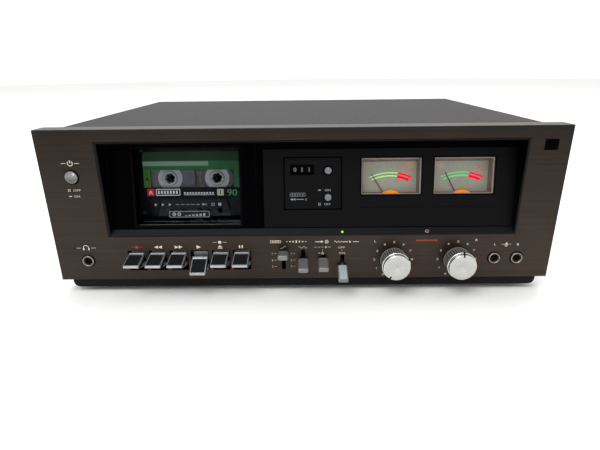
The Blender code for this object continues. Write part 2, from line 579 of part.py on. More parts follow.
# Tape counter: three number wheels on an axle behind its window, and two push buttons.
WHEEL_R, WHEEL_T = 10.5, 4.6
CNT_W, CNT_V = FAS_T + 1.6 + WHEEL_R, (COUNTER_V[0] + COUNTER_V[1]) / 2
wheel_mesh = turned_mesh(((AXLE_BORE, 2.2), (WHEEL_R - 0.5, 2.2), (WHEEL_R, 1.8), (WHEEL_R, -1.8),
                          (WHEEL_R - 0.5, -2.2), (AXLE_BORE, -2.2)), 20, True)
for name, x in (("counter_wheel_hundreds", -6.2), ("counter_wheel_tens", 0.0), ("counter_wheel_ones", 6.2)):
    k = as_object(name, wheel_mesh.copy(), (x, CNT_W, CNT_V), lean=True, rot=(0, math.pi / 2, 0))
    smooth(k)
    paint(k, "digit_black")
axle2 = as_object("counter_axle", cutters(("cyl", (0.2, CNT_W, CNT_V), "x", AXLE_R, 26.4, 16)), lean=True)
boolean(axle2, cutters(("box", (-13.6, FAS_T + GAP, CNT_V - 6), (-11.6, CNT_W + 4, CNT_V + 6)),
                       ("box", (12.0, FAS_T + GAP, CNT_V - 6), (14.0, CNT_W + 4, CNT_V + 6))), "UNION", "end_plates")
paint(axle2, "steel")
small_mesh = turned_mesh(((0, 2.6), (SMALL_R - 0.5, 2.6), (SMALL_R, 2.1), (SMALL_R, -8.0), (1.5, -8.0), (1.5, -16.0),
                          (0, -16.0)), 16)
for name, v in (("counter_reset_button", RESET_V), ("memory_button", MEMORY_V)):
    k = as_object(name, small_mesh.copy(), (RESET_X, 0, v), lean=True, rot=(math.pi / 2, 0, 0))
    smooth(k)
    paint(k, "aluminium")

# ============================================================ cassette door
# Frame: opaque front with a clear opening, and two cheeks that carry the cassette.
door = as_object("door_frame", box_mesh((DOOR_X0, 0, DOOR_V0), (DOOR_X1, DOOR_T, DOOR_V1)), lean=True)
# lower front edge rounded about the hinge line so it turns clear of the sill
boolean(door, cutters(("box", (CLEAR_X0, -2, CLEAR_V0), (CLEAR_X1, 8, CLEAR_V1))), tag="opening")
cheek_l = CAS_X - CAS_W / 2 - GAP
cheek_r = CAS_X + CAS_W / 2 + GAP
CHEEK_W1 = CAS_FACE_W + CAS_T
boolean(door, cutters(("box", (cheek_l - 2.0, DOOR_T - 1, HINGE_V - 3.0), (cheek_l, CHEEK_W1, 70.0)),
                      ("box", (cheek_r, DOOR_T - 1, HINGE_V - 3.0), (cheek_r + 2.0, CHEEK_W1, 70.0))),
        "UNION", "cheeks")
boolean(door, cutters(("box", (cheek_l - 1, HINGE_W + 3.4, 6.9), (cheek_r + 1, CHEEK_W1 - 3.0, 8.7))), "UNION", "shelf")
# hinge barrels behind the two outer lower corners, with a pin at each end
boolean(door, cutters(("cyl", ((DOOR_X0 + cheek_l - 1) / 2, HINGE_W, HINGE_V), "x", 3.0, cheek_l - 1 - DOOR_X0, 16),
                      ("cyl", ((DOOR_X1 + cheek_r + 1) / 2, HINGE_W, HINGE_V), "x", 3.0, DOOR_X1 - cheek_r - 1, 16)),
        "UNION", "hinge_barrels")
boolean(door, cutters(("box", (DOOR_X0, DOOR_T - 1, HINGE_V - 0.6), (cheek_l - 1, HINGE_W, HINGE_V + 3.0)),
                      ("box", (cheek_r + 1, DOOR_T - 1, HINGE_V - 0.6), (DOOR_X1, HINGE_W, HINGE_V + 3.0))),
        "UNION", "hinge_webs")
boolean(door, cutters(("cyl", (DOOR_X0, HINGE_W, HINGE_V), "x", 1.2, 3.6, 12),
                      ("cyl", (DOOR_X1, HINGE_W, HINGE_V), "x", 1.2, 3.6, 12)), "UNION", "hinge_pins")
paint(door, "black_plastic")

pane = as_object("door_window", box_mesh((CLEAR_X0 + GAP, 0.2, CLEAR_V0 + GAP), (CLEAR_X1 - GAP, 2.4, CLEAR_V1 - GAP),
                                         0.3, 1), lean=True)
paint(pane, "clear")

# Cassette: one shell with a round pocket for each reel and the usual thicker foot.
cv0 = HUB_V - 34.6
cas = as_object("cassette_shell", box_mesh((CAS_X - CAS_W / 2, CAS_FACE_W, cv0),
                                           (CAS_X + CAS_W / 2, CAS_FACE_W + CAS_T, cv0 + CAS_H)), lean=True)
boolean(cas, outline_mesh([(CAS_X - 33.5, cv0), (CAS_X + 33.5, cv0), (CAS_X + 29.5, cv0 + 15.6),
                           (CAS_X - 29.5, cv0 + 15.6)], CAS_FACE_W - 1.6, CAS_FACE_W + CAS_T + 1.6, "y"),
        "UNION", "foot")
POCKET_W0, POCKET_W1 = CAS_FACE_W + 1.5, CAS_FACE_W + CAS_T - 1.5
hub_x = (CAS_X - HUB_PITCH / 2, CAS_X + HUB_PITCH / 2)
boolean(cas, cutters(*[("cyl", (x, (POCKET_W0 + POCKET_W1) / 2, HUB_V), "y", 11.6, POCKET_W1 - POCKET_W0, 20)
                       for x in hub_x]), tag="reel_pockets")
boolean(cas, cutters(*[("cyl", (x, CAS_FACE_W + CAS_T / 2, HUB_V), "y", 6.2, CAS_T + 6, 20) for x in hub_x]),
        tag="hub_holes")
boolean(cas, cutters(("box", (CAS_X - 24, CAS_FACE_W + 1.6, cv0 - 3), (CAS_X - 10, CAS_FACE_W + CAS_T - 1.6, cv0 + 8)),
                     ("box", (CAS_X - 7, CAS_FACE_W + 1.6, cv0 - 3), (CAS_X + 7, CAS_FACE_W + CAS_T - 1.6, cv0 + 8)),
                     ("box", (CAS_X + 10, CAS_FACE_W + 1.6, cv0 - 3), (CAS_X + 24, CAS_FACE_W + CAS_T - 1.6, cv0 + 8))),
        tag="head_openings")
paint(cas, "cassette_grey")
mid_w = CAS_FACE_W + CAS_T / 2
hub_mesh = turned_mesh(((4.6, 3.9), (5.8, 3.9), (5.8, 2.3), (11.0, 2.3), (11.0, -2.3), (5.8, -2.3), (5.8, -3.9),
                        (4.6, -3.9)), 18, True)
for name, x in (("reel_hub_left", hub_x[0]), ("reel_hub_right", hub_x[1])):
    k = as_object(name, hub_mesh.copy(), (x, mid_w, HUB_V), lean=True, rot=(math.pi / 2, 0, 0))
    bm = new_bm()
    for i in range(6):
        add_box(bm, (-0.55, 4.0, -3.0), (0.55, 5.2, 3.0), Matrix.Rotation(i * math.pi / 3, 3, "Z"))
    boolean(k, mesh_of(bm, "teeth"), "UNION", "teeth")
    smooth(k)
    paint(k, "hub_white")

# ============================================================ tape mechanism
# Chassis: a leaning steel plate with side lugs; the key axle is staked into the lugs.
mech = as_object("mechanism_chassis", box_mesh((-166.0, MECH_W, 3.0), (-37.0, MECH_W + MECH_T, 72.0)), lean=True)
lc, ls = math.cos(math.radians(LEAN)), math.sin(math.radians(LEAN))


def to_lean(y, z):
    return ((y - LEAN_Y) * lc - (z - LEAN_Z) * ls, (y - LEAN_Y) * ls + (z - LEAN_Z) * lc)


axle_w, axle_v = to_lean(KEY_PIVOT_Y, KEY_PIVOT_Z)
lug = [(MECH_W + MECH_T, 10.0), (MECH_W, 3.6), to_lean(KEY_PIVOT_Y - 3.5, KEY_PIVOT_Z + 4.5),
       to_lean(KEY_PIVOT_Y - 3.5, KEY_PIVOT_Z - 4.0), to_lean(KEY_PIVOT_Y + 5.0, KEY_PIVOT_Z - 4.0),
       (MECH_W + MECH_T + 4, 3.0), (MECH_W + MECH_T + 4, 10.0)]
boolean(mech, outline_mesh(lug, -166.0, -164.0), "UNION", "lug_left")
boolean(mech, outline_mesh(lug, -39.0, -37.0), "UNION", "lug_right")
boolean(mech, cutters(("cyl", (-101.5, axle_w, axle_v), "x", AXLE_R, 126.4, 16)), "UNION", "key_axle")
boolean(mech, cutters(("cyl", (hub_x[0], MECH_W, HUB_V), "y", 3.4, 8, 20),
                      ("cyl", (hub_x[1], MECH_W, HUB_V), "y", 3.4, 8, 20),
                      ("cyl", (FLY_X, MECH_W, FLY_V), "y", 1.9, 8, 16),
                      ("cyl", (MOTOR_X, MECH_W, MOTOR_V), "y", 4.4, 8, 16),
                      ("box", (CAS_X - 20, MECH_W - 3, -1), (CAS_X + 20, MECH_W + 6, 9.6))), tag="openings")
paint(mech, "steel")

# Spindles: tapered drive tip in the cassette, turntable behind the plate.
spindle_mesh = turned_mesh(((0, 9.0), (1.3, 8.6), (1.7, 6.6), (2.5, 4.8), (2.5, 0.3), (3.0, 0.0), (3.0, -2.0),
                            (14.0, -2.0), (14.0, -5.0), (3.5, -5.0), (3.5, -9.0), (0, -9.0)), 20)
for name, x in (("spindle_supply", hub_x[0]), ("spindle_take_up", hub_x[1])):
    k = as_object(name, spindle_mesh.copy(), (x, MECH_W, HUB_V), lean=True, rot=(math.pi / 2, 0, 0))
    smooth(k)
    paint(k, "black_plastic")

# Flywheel with the capstan shaft through the plate; grooved rim for the belt.
fly = as_object("flywheel", turned_mesh(((0, 1.4), (1.5, 1.4), (1.5, -13.0), (23.0, -13.0), (23.0, -14.0), (21.8, -14.8),
                                         (21.8, -17.2), (23.0, -18.0), (23.0, -19.0), (0, -19.0)), 28),
                (FLY_X, MECH_W, FLY_V), lean=True, rot=(math.pi / 2, 0, 0))
smooth(fly)
paint(fly, "steel")

# Motor: can behind the plate, with its pulley on the same line.
motor = as_object("motor", turned_mesh(((0, -21.8), (15.0, -21.8), (16.0, -22.8), (16.0, -44.0), (15.0, -45.0), (0, -45.0)),
                                       20), (MOTOR_X, MECH_W, MOTOR_V), lean=True, rot=(math.pi / 2, 0, 0))
smooth(motor)
paint(motor, "steel")
pulley = as_object("motor_pulley", turned_mesh(((0, -12.8), (5.0, -12.8), (5.0, -14.0), (3.8, -14.8), (3.8, -17.2),
                                                (5.0, -18.0), (5.0, -21.4), (0, -21.4)), 14),
                   (MOTOR_X, MECH_W, MOTOR_V), lean=True, rot=(math.pi / 2, 0, 0))
smooth(pulley)
paint(pulley, "aluminium")

# Belt: a closed loop round the pulley and the flywheel's groove.
R1, R2 = 3.8 + 0.3, 21.8 + 0.3
span = Vector((FLY_X - MOTOR_X, FLY_V - MOTOR_V))
dist = span.length
base_ang = math.atan2(span.y, span.x)
wrap = math.acos((R1 - R2) / dist)


def belt_loop(grow):
    pts = []
    for i in range(9):
        a = base_ang + wrap + (2 * math.pi - 2 * wrap) * i / 8
        pts.append((MOTOR_X + (R1 + grow) * math.cos(a), MOTOR_V + (R1 + grow) * math.sin(a)))
    for i in range(17):
        a = base_ang - wrap + 2 * wrap * i / 16
        pts.append((FLY_X + (R2 + grow) * math.cos(a), FLY_V + (R2 + grow) * math.sin(a)))
    return pts


belt = as_object("drive_belt", outline_mesh(belt_loop(1.0), MECH_W + 15.1, MECH_W + 16.9, "y"), lean=True)
boolean(belt, outline_mesh(belt_loop(0.0), MECH_W + 14.0, MECH_W + 18.0, "y"), tag="inside")
paint(belt, "rubber")

# Head carriage: slides up its slope towards the cassette's lower edge; two heads and a roller block.
head = as_object("head_carriage", box_mesh((CAS_X - 30, CAS_FACE_W + 1.0, -2.0), (CAS_X + 30, MECH_W - GAP, 1.0)),
                 lean=True)
boolean(head, cutters(("box", (CAS_X - 6, CAS_FACE_W + 2.2, 0.5), (CAS_X + 6, CAS_FACE_W + CAS_T - 2.2, 5.4)),
                      ("box", (CAS_X - 22, CAS_FACE_W + 2.2, 0.5), (CAS_X - 12, CAS_FACE_W + CAS_T - 2.2, 4.6)),
                      ("cyl", (CAS_X + 17, mid_w, 2.8), "z", 3.0, 5.0, 16)), "UNION", "heads")
paint(head, "aluminium")

# ============================================================== electronics
trans = as_object("mains_transformer", box_mesh((-186, 214, 2.0), (-130, 262, 46.0), 1.0, 1))
boolean(trans, cutters(("box", (-176, 206, 9.0), (-140, 270, 39.0))), "UNION", "winding")
paint(trans, "winding_copper")

pcb = as_object("circuit_board", box_mesh((-90, 130, 3.0), (195, 262, 4.6)))
parts = []
for i in range(6):
    parts.append(("cyl", (-60 + i * 34, 160, 11.0), "z", 5.5, 14.0, 12))
for i in range(4):
    parts.append(("box", (-40 + i * 50, 200, 4.0), (-20 + i * 50, 208, 8.4)))
boolean(pcb, cutters(*parts), "UNION", "components")
paint(pcb, "board_green")

bpy.context.view_layer.update()
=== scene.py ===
import math
import random

import bmesh
import bpy
from mathutils import Matrix, Vector


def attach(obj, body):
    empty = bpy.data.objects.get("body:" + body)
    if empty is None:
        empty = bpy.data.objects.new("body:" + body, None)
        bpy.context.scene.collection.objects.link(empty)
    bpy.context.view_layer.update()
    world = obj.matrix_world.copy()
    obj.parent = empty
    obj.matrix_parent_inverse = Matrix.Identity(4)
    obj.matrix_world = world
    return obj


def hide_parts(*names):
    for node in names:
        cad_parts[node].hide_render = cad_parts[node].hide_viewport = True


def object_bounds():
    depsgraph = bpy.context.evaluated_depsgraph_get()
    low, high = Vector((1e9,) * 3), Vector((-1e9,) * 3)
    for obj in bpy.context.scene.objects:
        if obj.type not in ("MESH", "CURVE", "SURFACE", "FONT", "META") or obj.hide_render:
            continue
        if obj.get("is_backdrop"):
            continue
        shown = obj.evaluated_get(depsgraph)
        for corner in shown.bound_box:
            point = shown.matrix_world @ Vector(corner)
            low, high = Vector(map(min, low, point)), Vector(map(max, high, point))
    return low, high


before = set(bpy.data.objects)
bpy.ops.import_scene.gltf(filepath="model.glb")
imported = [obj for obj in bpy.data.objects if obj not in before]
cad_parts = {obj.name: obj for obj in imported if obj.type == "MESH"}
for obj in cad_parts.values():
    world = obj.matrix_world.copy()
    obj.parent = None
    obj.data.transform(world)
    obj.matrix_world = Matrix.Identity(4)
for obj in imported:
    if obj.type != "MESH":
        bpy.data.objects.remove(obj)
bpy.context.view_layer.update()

random.seed(11)

# ------------------------------------------------------------------- frames
# Panel frame: mm, X right, Y back from the panel's face, Z up from its lower edge.
# Leaning frame: x, w square into the fascia, v up its slope.
MM = 0.001
Y0, Z0 = -141.241, 13.4
PAN = Matrix.Translation((0, Y0 * MM, Z0 * MM)) @ Matrix.Scale(MM, 4)
LEAN = (Matrix.Translation((0, (5 + Y0) * MM, (47 + Z0) * MM)) @ Matrix.Rotation(math.radians(-10), 4, "X")
        @ Matrix.Scale(MM, 4))
FRONT = Matrix.Rotation(math.pi / 2, 4, "X")        # local Z to the front, local Y up
BACK = Matrix.Rotation(-math.pi / 2, 4, "X")        # local Z to the back


def mv(x=0, y=0, z=0):
    return Matrix.Translation((x, y, z))


def rot(deg, axis):
    return Matrix.Rotation(math.radians(deg), 4, axis)


# ---------------------------------------------------------------- materials
def lin(r, g, b):
    def one(c):
        c /= 255.0
        return c / 12.92 if c <= 0.04045 else ((c + 0.055) / 1.055) ** 2.4
    return (one(r), one(g), one(b))


MATS = {}


def mat(name, rgb, rough=0.5, metal=0.0, grain=(300, 300, 300), var=0.08, rvar=0.06, bump=0.15, dist=0.00003,
        cloud=0.05, cloud_scale=14.0, detail=4.0, emit=None, power=0.0, alpha=1.0, coat=0.0, spec=0.5, painted_light_spot=None,
        ring=None, fade=None, rings=(0.86, 1.1)):
    """A Principled finish whose colour, roughness and normal all vary with noise in the object's own space."""
    m = bpy.data.materials.new(name)
    m.use_nodes = True
    nt = m.node_tree
    n, li = nt.nodes, nt.links
    p = n["Principled BSDF"]
    base = lin(*rgb)
    co = n.new("ShaderNodeTexCoord")
    mp = n.new("ShaderNodeMapping")
    mp.inputs["Scale"].default_value = grain
    li.new(co.outputs["Object"], mp.inputs["Vector"])
    fine = n.new("ShaderNodeTexNoise")
    fine.inputs["Scale"].default_value = 1.0
    fine.inputs["Detail"].default_value = detail
    fine.inputs["Roughness"].default_value = 0.62
    li.new(mp.outputs["Vector"], fine.inputs["Vector"])
    wide = n.new("ShaderNodeTexNoise")
    wide.inputs["Scale"].default_value = cloud_scale
    wide.inputs["Detail"].default_value = 2.0
    li.new(co.outputs["Object"], wide.inputs["Vector"])
    # value = 1 + var*(fine-0.5)*2 + cloud*(wide-0.5)*2
    a = n.new("ShaderNodeMapRange")
    a.inputs["From Min"].default_value, a.inputs["From Max"].default_value = 0.25, 0.75
    a.inputs["To Min"].default_value, a.inputs["To Max"].default_value = 1 - var, 1 + var
    li.new(fine.outputs["Fac"], a.inputs["Value"])
    b = n.new("ShaderNodeMapRange")
    b.inputs["From Min"].default_value, b.inputs["From Max"].default_value = 0.3, 0.7
    b.inputs["To Min"].default_value, b.inputs["To Max"].default_value = 1 - cloud, 1 + cloud
    li.new(wide.outputs["Fac"], b.inputs["Value"])
    k = n.new("ShaderNodeMath")
    k.operation = "MULTIPLY"
    li.new(a.outputs["Result"], k.inputs[0])
    li.new(b.outputs["Result"], k.inputs[1])
    mul = n.new("ShaderNodeVectorMath")
    mul.operation = "SCALE"
    mul.inputs[0].default_value = base
    li.new(k.outputs["Value"], mul.inputs["Scale"])
    colour = mul.outputs["Vector"]
    if fade:        # painted shade: the colour is scaled from one factor to another with height: (z low mm, z high mm, factor low, factor high)
        sep = n.new("ShaderNodeSeparateXYZ")
        li.new(co.outputs["Object"], sep.inputs["Vector"])
        fz = n.new("ShaderNodeMapRange")
        fz.inputs["From Min"].default_value, fz.inputs["From Max"].default_value = fade[0] * MM, fade[1] * MM
        fz.inputs["To Min"].default_value, fz.inputs["To Max"].default_value = fade[2], fade[3]
        li.new(sep.outputs["Z"], fz.inputs["Value"])
        fs = n.new("ShaderNodeVectorMath")
        fs.operation = "SCALE"
        li.new(colour, fs.inputs[0])
        li.new(fz.outputs["Result"], fs.inputs["Scale"])
        colour = fs.outputs["Vector"]
    if painted_light_spot:        # painted light: a soft round patch of highlight or glow colour: (world point in mm, radius in mm, rgb, strength)
        (sx, sy, sz), srad, srgb, sfac = painted_light_spot
        d = n.new("ShaderNodeVectorMath")
        d.operation = "DISTANCE"
        d.inputs[1].default_value = (sx * MM, sy * MM, sz * MM)
        li.new(co.outputs["Object"], d.inputs[0])
        fall = n.new("ShaderNodeMapRange")
        fall.interpolation_type = "SMOOTHSTEP"
        fall.inputs["From Min"].default_value, fall.inputs["From Max"].default_value = 0.0, srad * MM
        fall.inputs["To Min"].default_value, fall.inputs["To Max"].default_value = sfac, 0.0
        li.new(d.outputs["Value"], fall.inputs["Value"])
        mx = n.new("ShaderNodeMix")
        mx.data_type = "RGBA"
        li.new(fall.outputs["Result"], mx.inputs[0])
        li.new(colour, mx.inputs[6])
        mx.inputs[7].default_value = (*lin(*srgb), 1)
        colour = mx.outputs[2]
    li.new(colour, p.inputs["Base Color"])
    r = n.new("ShaderNodeMapRange")
    r.inputs["From Min"].default_value, r.inputs["From Max"].default_value = 0.25, 0.75
    r.inputs["To Min"].default_value, r.inputs["To Max"].default_value = max(rough - rvar, 0.02), min(rough + rvar, 1)
    li.new(fine.outputs["Fac"], r.inputs["Value"])
    li.new(r.outputs["Result"], p.inputs["Roughness"])
    p.inputs["Metallic"].default_value = metal
    p.inputs["Specular IOR Level"].default_value = spec
    height = fine.outputs["Fac"]
    if ring:        # turned rings about a centre: (world point in mm, world axis, rings per mm)
        (cx, cy, cz), axis, pitch = ring
        off = n.new("ShaderNodeVectorMath")
        off.operation = "SUBTRACT"
        off.inputs[1].default_value = (cx * MM, cy * MM, cz * MM)
        li.new(co.outputs["Object"], off.inputs[0])
        cr = n.new("ShaderNodeVectorMath")
        cr.operation = "CROSS_PRODUCT"
        cr.inputs[0].default_value = axis
        li.new(off.outputs["Vector"], cr.inputs[1])
        ln = n.new("ShaderNodeVectorMath")
        ln.operation = "LENGTH"
        li.new(cr.outputs["Vector"], ln.inputs[0])
        cmb = n.new("ShaderNodeCombineXYZ")
        li.new(ln.outputs["Value"], cmb.inputs["X"])
        rn = n.new("ShaderNodeTexNoise")
        rn.inputs["Scale"].default_value = pitch * 1000
        rn.inputs["Detail"].default_value = 2.0
        li.new(cmb.outputs["Vector"], rn.inputs["Vector"])
        height = rn.outputs["Fac"]
        rr = n.new("ShaderNodeMapRange")
        rr.inputs["From Min"].default_value, rr.inputs["From Max"].default_value = 0.3, 0.7
        rr.inputs["To Min"].default_value, rr.inputs["To Max"].default_value = rings
        li.new(height, rr.inputs["Value"])
        rs = n.new("ShaderNodeVectorMath")
        rs.operation = "SCALE"
        li.new(colour, rs.inputs[0])
        li.new(rr.outputs["Result"], rs.inputs["Scale"])
        li.new(rs.outputs["Vector"], p.inputs["Base Color"])
        # anisotropic highlight round the centre
        tv = n.new("ShaderNodeVectorTransform")
        tv.vector_type, tv.convert_from, tv.convert_to = "VECTOR", "OBJECT", "WORLD"
        li.new(cr.outputs["Vector"], tv.inputs["Vector"])
        nm = n.new("ShaderNodeVectorMath")
        nm.operation = "NORMALIZE"
        li.new(tv.outputs["Vector"], nm.inputs[0])
        p.inputs["Anisotropic"].default_value = 0.75
        li.new(nm.outputs["Vector"], p.inputs["Tangent"])
    if bump:
        bp = n.new("ShaderNodeBump")
        bp.inputs["Strength"].default_value = bump
        bp.inputs["Distance"].default_value = dist
        li.new(height, bp.inputs["Height"])
        li.new(bp.outputs["Normal"], p.inputs["Normal"])
    if coat:
        p.inputs["Coat Weight"].default_value = coat
        p.inputs["Coat Roughness"].default_value = 0.12
    if emit:
        p.inputs["Emission Color"].default_value = (*lin(*emit), 1)
        p.inputs["Emission Strength"].default_value = power
    if alpha < 1:
        p.inputs["Alpha"].default_value = alpha
    MATS[name] = m
    return m


ROUND = (420, 420, 420)
# painted shade: fade scales the bronze darker towards the top
PANEL = mat("panel_bronze", (51, 42, 36), 0.36, 0.8, (2.5, 1300, 1300), var=0.30, rvar=0.08, bump=0.25, dist=0.00002,
            cloud=0.12, cloud_scale=14, detail=8, fade=(30, 148, 1.06, 0.60))
COVER = mat("cover_paint", (42, 42, 42), 0.6, 0.0, (420, 420, 420), var=0.5, rvar=0.1, bump=0.7, dist=0.00008,
            cloud=0.05, detail=6, spec=0.2)
TRAY = mat("tray_paint", (16, 16, 18), 0.5, 0.0, (1300, 1300, 1300), var=0.2, bump=0.35, dist=0.00004, cloud=0.05,
           spec=0.1)
REAR = mat("rear_paint", (34, 34, 36), 0.5, 0.1, (1500, 1500, 1500), var=0.2, bump=0.4, dist=0.00004, spec=0.2)
BLACK = mat("black_plastic", (14, 15, 17), 0.46, 0.0, (900, 900, 900), var=0.18, bump=0.3, dist=0.00003, spec=0.09)
FASCIA = mat("fascia_black", (10, 10, 12), 0.42, 0.0, (900, 900, 900), var=0.2, bump=0.28, dist=0.00003, spec=0.06)
FASCIA2 = mat("fascia_plate", (8, 8, 10), 0.48, 0.0, (1100, 1100, 1100), var=0.2, bump=0.3, dist=0.00003, spec=0.07)
DOORM = mat("door_black", (2.0, 2.1, 3.2), 0.36, 0.0, (700, 700, 700), var=0.25, bump=0.12, dist=0.00002, spec=0.007)
# near black, used for painted shadow strips along the recess top and for the dark gaps round the counter plate and its
# buttons
SHADOW_AND_GAP_BLACK = mat("painted_shadow_and_gap_black", (4.5, 4.5, 6.5), 0.9, 0.0, (600, 600, 600), var=0.35, bump=0.5, dist=0.00005, spec=0.0)
# painted shade on the reveal's side walls: near black, scaled darker towards the top
WALL_PAINTED_SHADE = mat("bezel_wall_painted_shade", (6, 6, 8), 0.6, 0.0, (900, 900, 900), var=0.25, bump=0.3, dist=0.00003, spec=0.012,
            fade=(50, 112, 1.5, 0.35))
DEEP = mat("deep_black", (3, 3, 4), 0.6, 0.0, (800, 800, 800), var=0.2, bump=0.2, dist=0.00003, spec=0.03)
GLOSS = mat("gloss_black", (3, 3, 4), 0.2, 0.0, (500, 500, 500), var=0.25, rvar=0.03, bump=0.05, dist=0.00001, spec=0.03)
CHROME = mat("key_chrome", (158, 161, 164), 0.24, 0.55, (40, 900, 900), var=0.07, rvar=0.05, bump=0.06, dist=0.00001)
CHEEK = mat("key_cheek", (128, 132, 136), 0.16, 0.97, (500, 60, 500), var=0.14, rvar=0.06, bump=0.35, dist=0.00004, cloud=0.2,
            cloud_scale=160)
LIP = mat("key_lip", (172, 174, 174), 0.24, 0.55, (40, 900, 900), var=0.07, rvar=0.05, bump=0.05, dist=0.00001)
SKIRT = mat("key_skirt", (150, 154, 158), 0.3, 0.4, (300, 60, 300), var=0.2, rvar=0.08, bump=0.2, dist=0.00002)
SATIN = mat("satin_grey", (150, 152, 154), 0.36, 0.3, (60, 1200, 1200), var=0.06, rvar=0.06, bump=0.1, dist=0.00001)
PADM = mat("key_pad", (20, 20, 22), 0.6, 0.0, (1400, 1400, 1400), var=0.2, bump=0.3, dist=0.00003, spec=0.12)
LEVER = mat("lever_satin", (120, 119, 115), 0.34, 0.45, (900, 60, 900), var=0.10, rvar=0.06, bump=0.2, dist=0.00002)
LEVERTOP = mat("lever_top", (116, 118, 118), 0.4, 0.45, (700, 500, 700), var=0.26, rvar=0.05, bump=0.3, dist=0.00002)
# painted highlight: a lighter copy of the lever top, used on the noise filter lever only
LEVERTOP_PAINTED_LIGHT = mat("lever_top_painted_highlight", (162, 172, 177), 0.34, 0.3, (700, 500, 700), var=0.14, rvar=0.05, bump=0.2, dist=0.00002)
KNURL = mat("knob_side", (150, 144, 136), 0.34, 0.5, ROUND, var=0.25, rvar=0.08, bump=0.1, dist=0.00001)
GROOVE = mat("knob_groove", (20, 19, 18), 0.5, 0.2, ROUND, var=0.2, bump=0.1, spec=0.15)
RIM = mat("knob_rim", (222, 222, 219), 0.16, 1.0, ROUND, var=0.05, rvar=0.03, bump=0.04, dist=0.00001)
STEEL = mat("steel_plated", (165, 165, 162), 0.34, 1.0, (160, 160, 160), var=0.08, rvar=0.08, bump=0.1, dist=0.00002)
NICKEL = mat("jack_nickel", (150, 140, 124), 0.3, 0.85, ROUND, var=0.08, rvar=0.05, bump=0.05, dist=0.00001)
SLEEVE = mat("jack_sleeve", (58, 50, 40), 0.42, 0.6, ROUND, var=0.12, rvar=0.06, bump=0.08, dist=0.00001)
BRASS = mat("contact_brass", (196, 160, 92), 0.3, 1.0, ROUND, var=0.06, bump=0.05)
ZINC = mat("screw_zinc", (150, 148, 140), 0.36, 1.0, ROUND, var=0.1, rvar=0.08, bump=0.1)
DARKSTEEL = mat("screw_black", (58, 58, 60), 0.38, 0.8, ROUND, var=0.1, rvar=0.08, bump=0.1)
RUBBER = mat("rubber", (22, 22, 22), 0.85, 0.0, (700, 700, 700), var=0.18, bump=0.5, dist=0.00005, spec=0.15)
CLEAR = None
INK = mat("ink_cream", (214, 206, 186), 0.55, 0.0, (1800, 1800, 1800), var=0.08, bump=0.1, spec=0.2)
INKDIM = mat("ink_grey", (182, 176, 162), 0.55, 0.0, (1800, 1800, 1800), var=0.08, bump=0.1, spec=0.2)
INKRED = mat("ink_red", (160, 62, 32), 0.55, 0.0, (1800, 1800, 1800), var=0.1, bump=0.1, spec=0.2)
INKFASC = mat("ink_fascia", (128, 130, 132), 0.55, 0.0, (1800, 1800, 1800), var=0.08, bump=0.1)
WHITE = mat("hub_white", (226, 228, 226), 0.4, 0.0, (500, 500, 500), var=0.04, bump=0.1)
BOARD = mat("board_green", (34, 78, 48), 0.4, 0.0, (500, 500, 500), var=0.12, bump=0.15)
COPPER = mat("winding_copper", (168, 92, 52), 0.4, 0.8, (60, 60, 1800), var=0.16, bump=0.5, dist=0.0001)
ALU = mat("aluminium", (190, 190, 190), 0.32, 1.0, (300, 300, 300), var=0.06, bump=0.08)
WHEEL = mat("counter_wheel", (10, 10, 11), 0.5, 0.0, (600, 600, 600), var=0.2, bump=0.15, spec=0.1)
HEADS = mat("head_steel", (64, 64, 66), 0.34, 0.9, (120, 900, 900), var=0.12, rvar=0.08, bump=0.1, dist=0.00002)
NEEDLE = mat("needle_black", (58, 55, 50), 0.5, 0.0, (900, 900, 900), var=0.15, bump=0.1, spec=0.2)
BUTTON = mat("small_button", (112, 115, 119), 0.38, 0.5, (600, 600, 600), var=0.09, bump=0.1)


def glass_mat(name, tint, haze=0.05):
    """Clear sheet: transparent, with faint uneven smears that take a little of the light."""
    m = bpy.data.materials.new(name)
    m.use_nodes = True
    nt = m.node_tree
    n, li = nt.nodes, nt.links
    p = n["Principled BSDF"]
    p.inputs["Base Color"].default_value = (0.0, 0.0, 0.0, 1)
    p.inputs["Specular IOR Level"].default_value = 0.0
    p.inputs["Roughness"].default_value = 0.4
    co = n.new("ShaderNodeTexCoord")
    no = n.new("ShaderNodeTexNoise")
    no.inputs["Scale"].default_value = 45
    no.inputs["Detail"].default_value = 4
    li.new(co.outputs["Object"], no.inputs["Vector"])
    mr = n.new("ShaderNodeMapRange")
    mr.inputs["From Min"].default_value, mr.inputs["From Max"].default_value = 0.3, 0.7
    mr.inputs["To Min"].default_value, mr.inputs["To Max"].default_value = haze * 0.6, haze * 1.4
    li.new(no.outputs["Fac"], mr.inputs["Value"])
    tr = n.new("ShaderNodeBsdfTransparent")
    tr.inputs["Color"].default_value = (*tint, 1)
    mix = n.new("ShaderNodeMixShader")
    li.new(mr.outputs["Result"], mix.inputs["Fac"])
    li.new(tr.outputs["BSDF"], mix.inputs[1])
    li.new(p.outputs["BSDF"], mix.inputs[2])
    li.new(mix.outputs["Shader"], n["Material Output"].inputs["Surface"])
    return m


PANE = glass_mat("door_pane", (0.93, 0.94, 0.95), 0.05)
METERGLASS = glass_mat("meter_pane", (0.97, 0.97, 0.97), 0.03)
SHELLGLASS = glass_mat("cassette_window", (0.95, 0.95, 0.96), 0.06)


# ------------------------------------------------------------------- shapes
def box(lo, hi, bevel=0.0, segs=2):
    bm = bmesh.new()
    size = [b - a for a, b in zip(lo, hi)]
    mid = [(a + b) / 2 for a, b in zip(lo, hi)]
    bmesh.ops.create_cube(bm, size=1.0, matrix=mv(*mid) @ Matrix.Diagonal((*size, 1)))
    if bevel:
        bmesh.ops.bevel(bm, geom=list(bm.edges), offset=bevel, segments=segs, profile=0.5, affect="EDGES")
    return bm


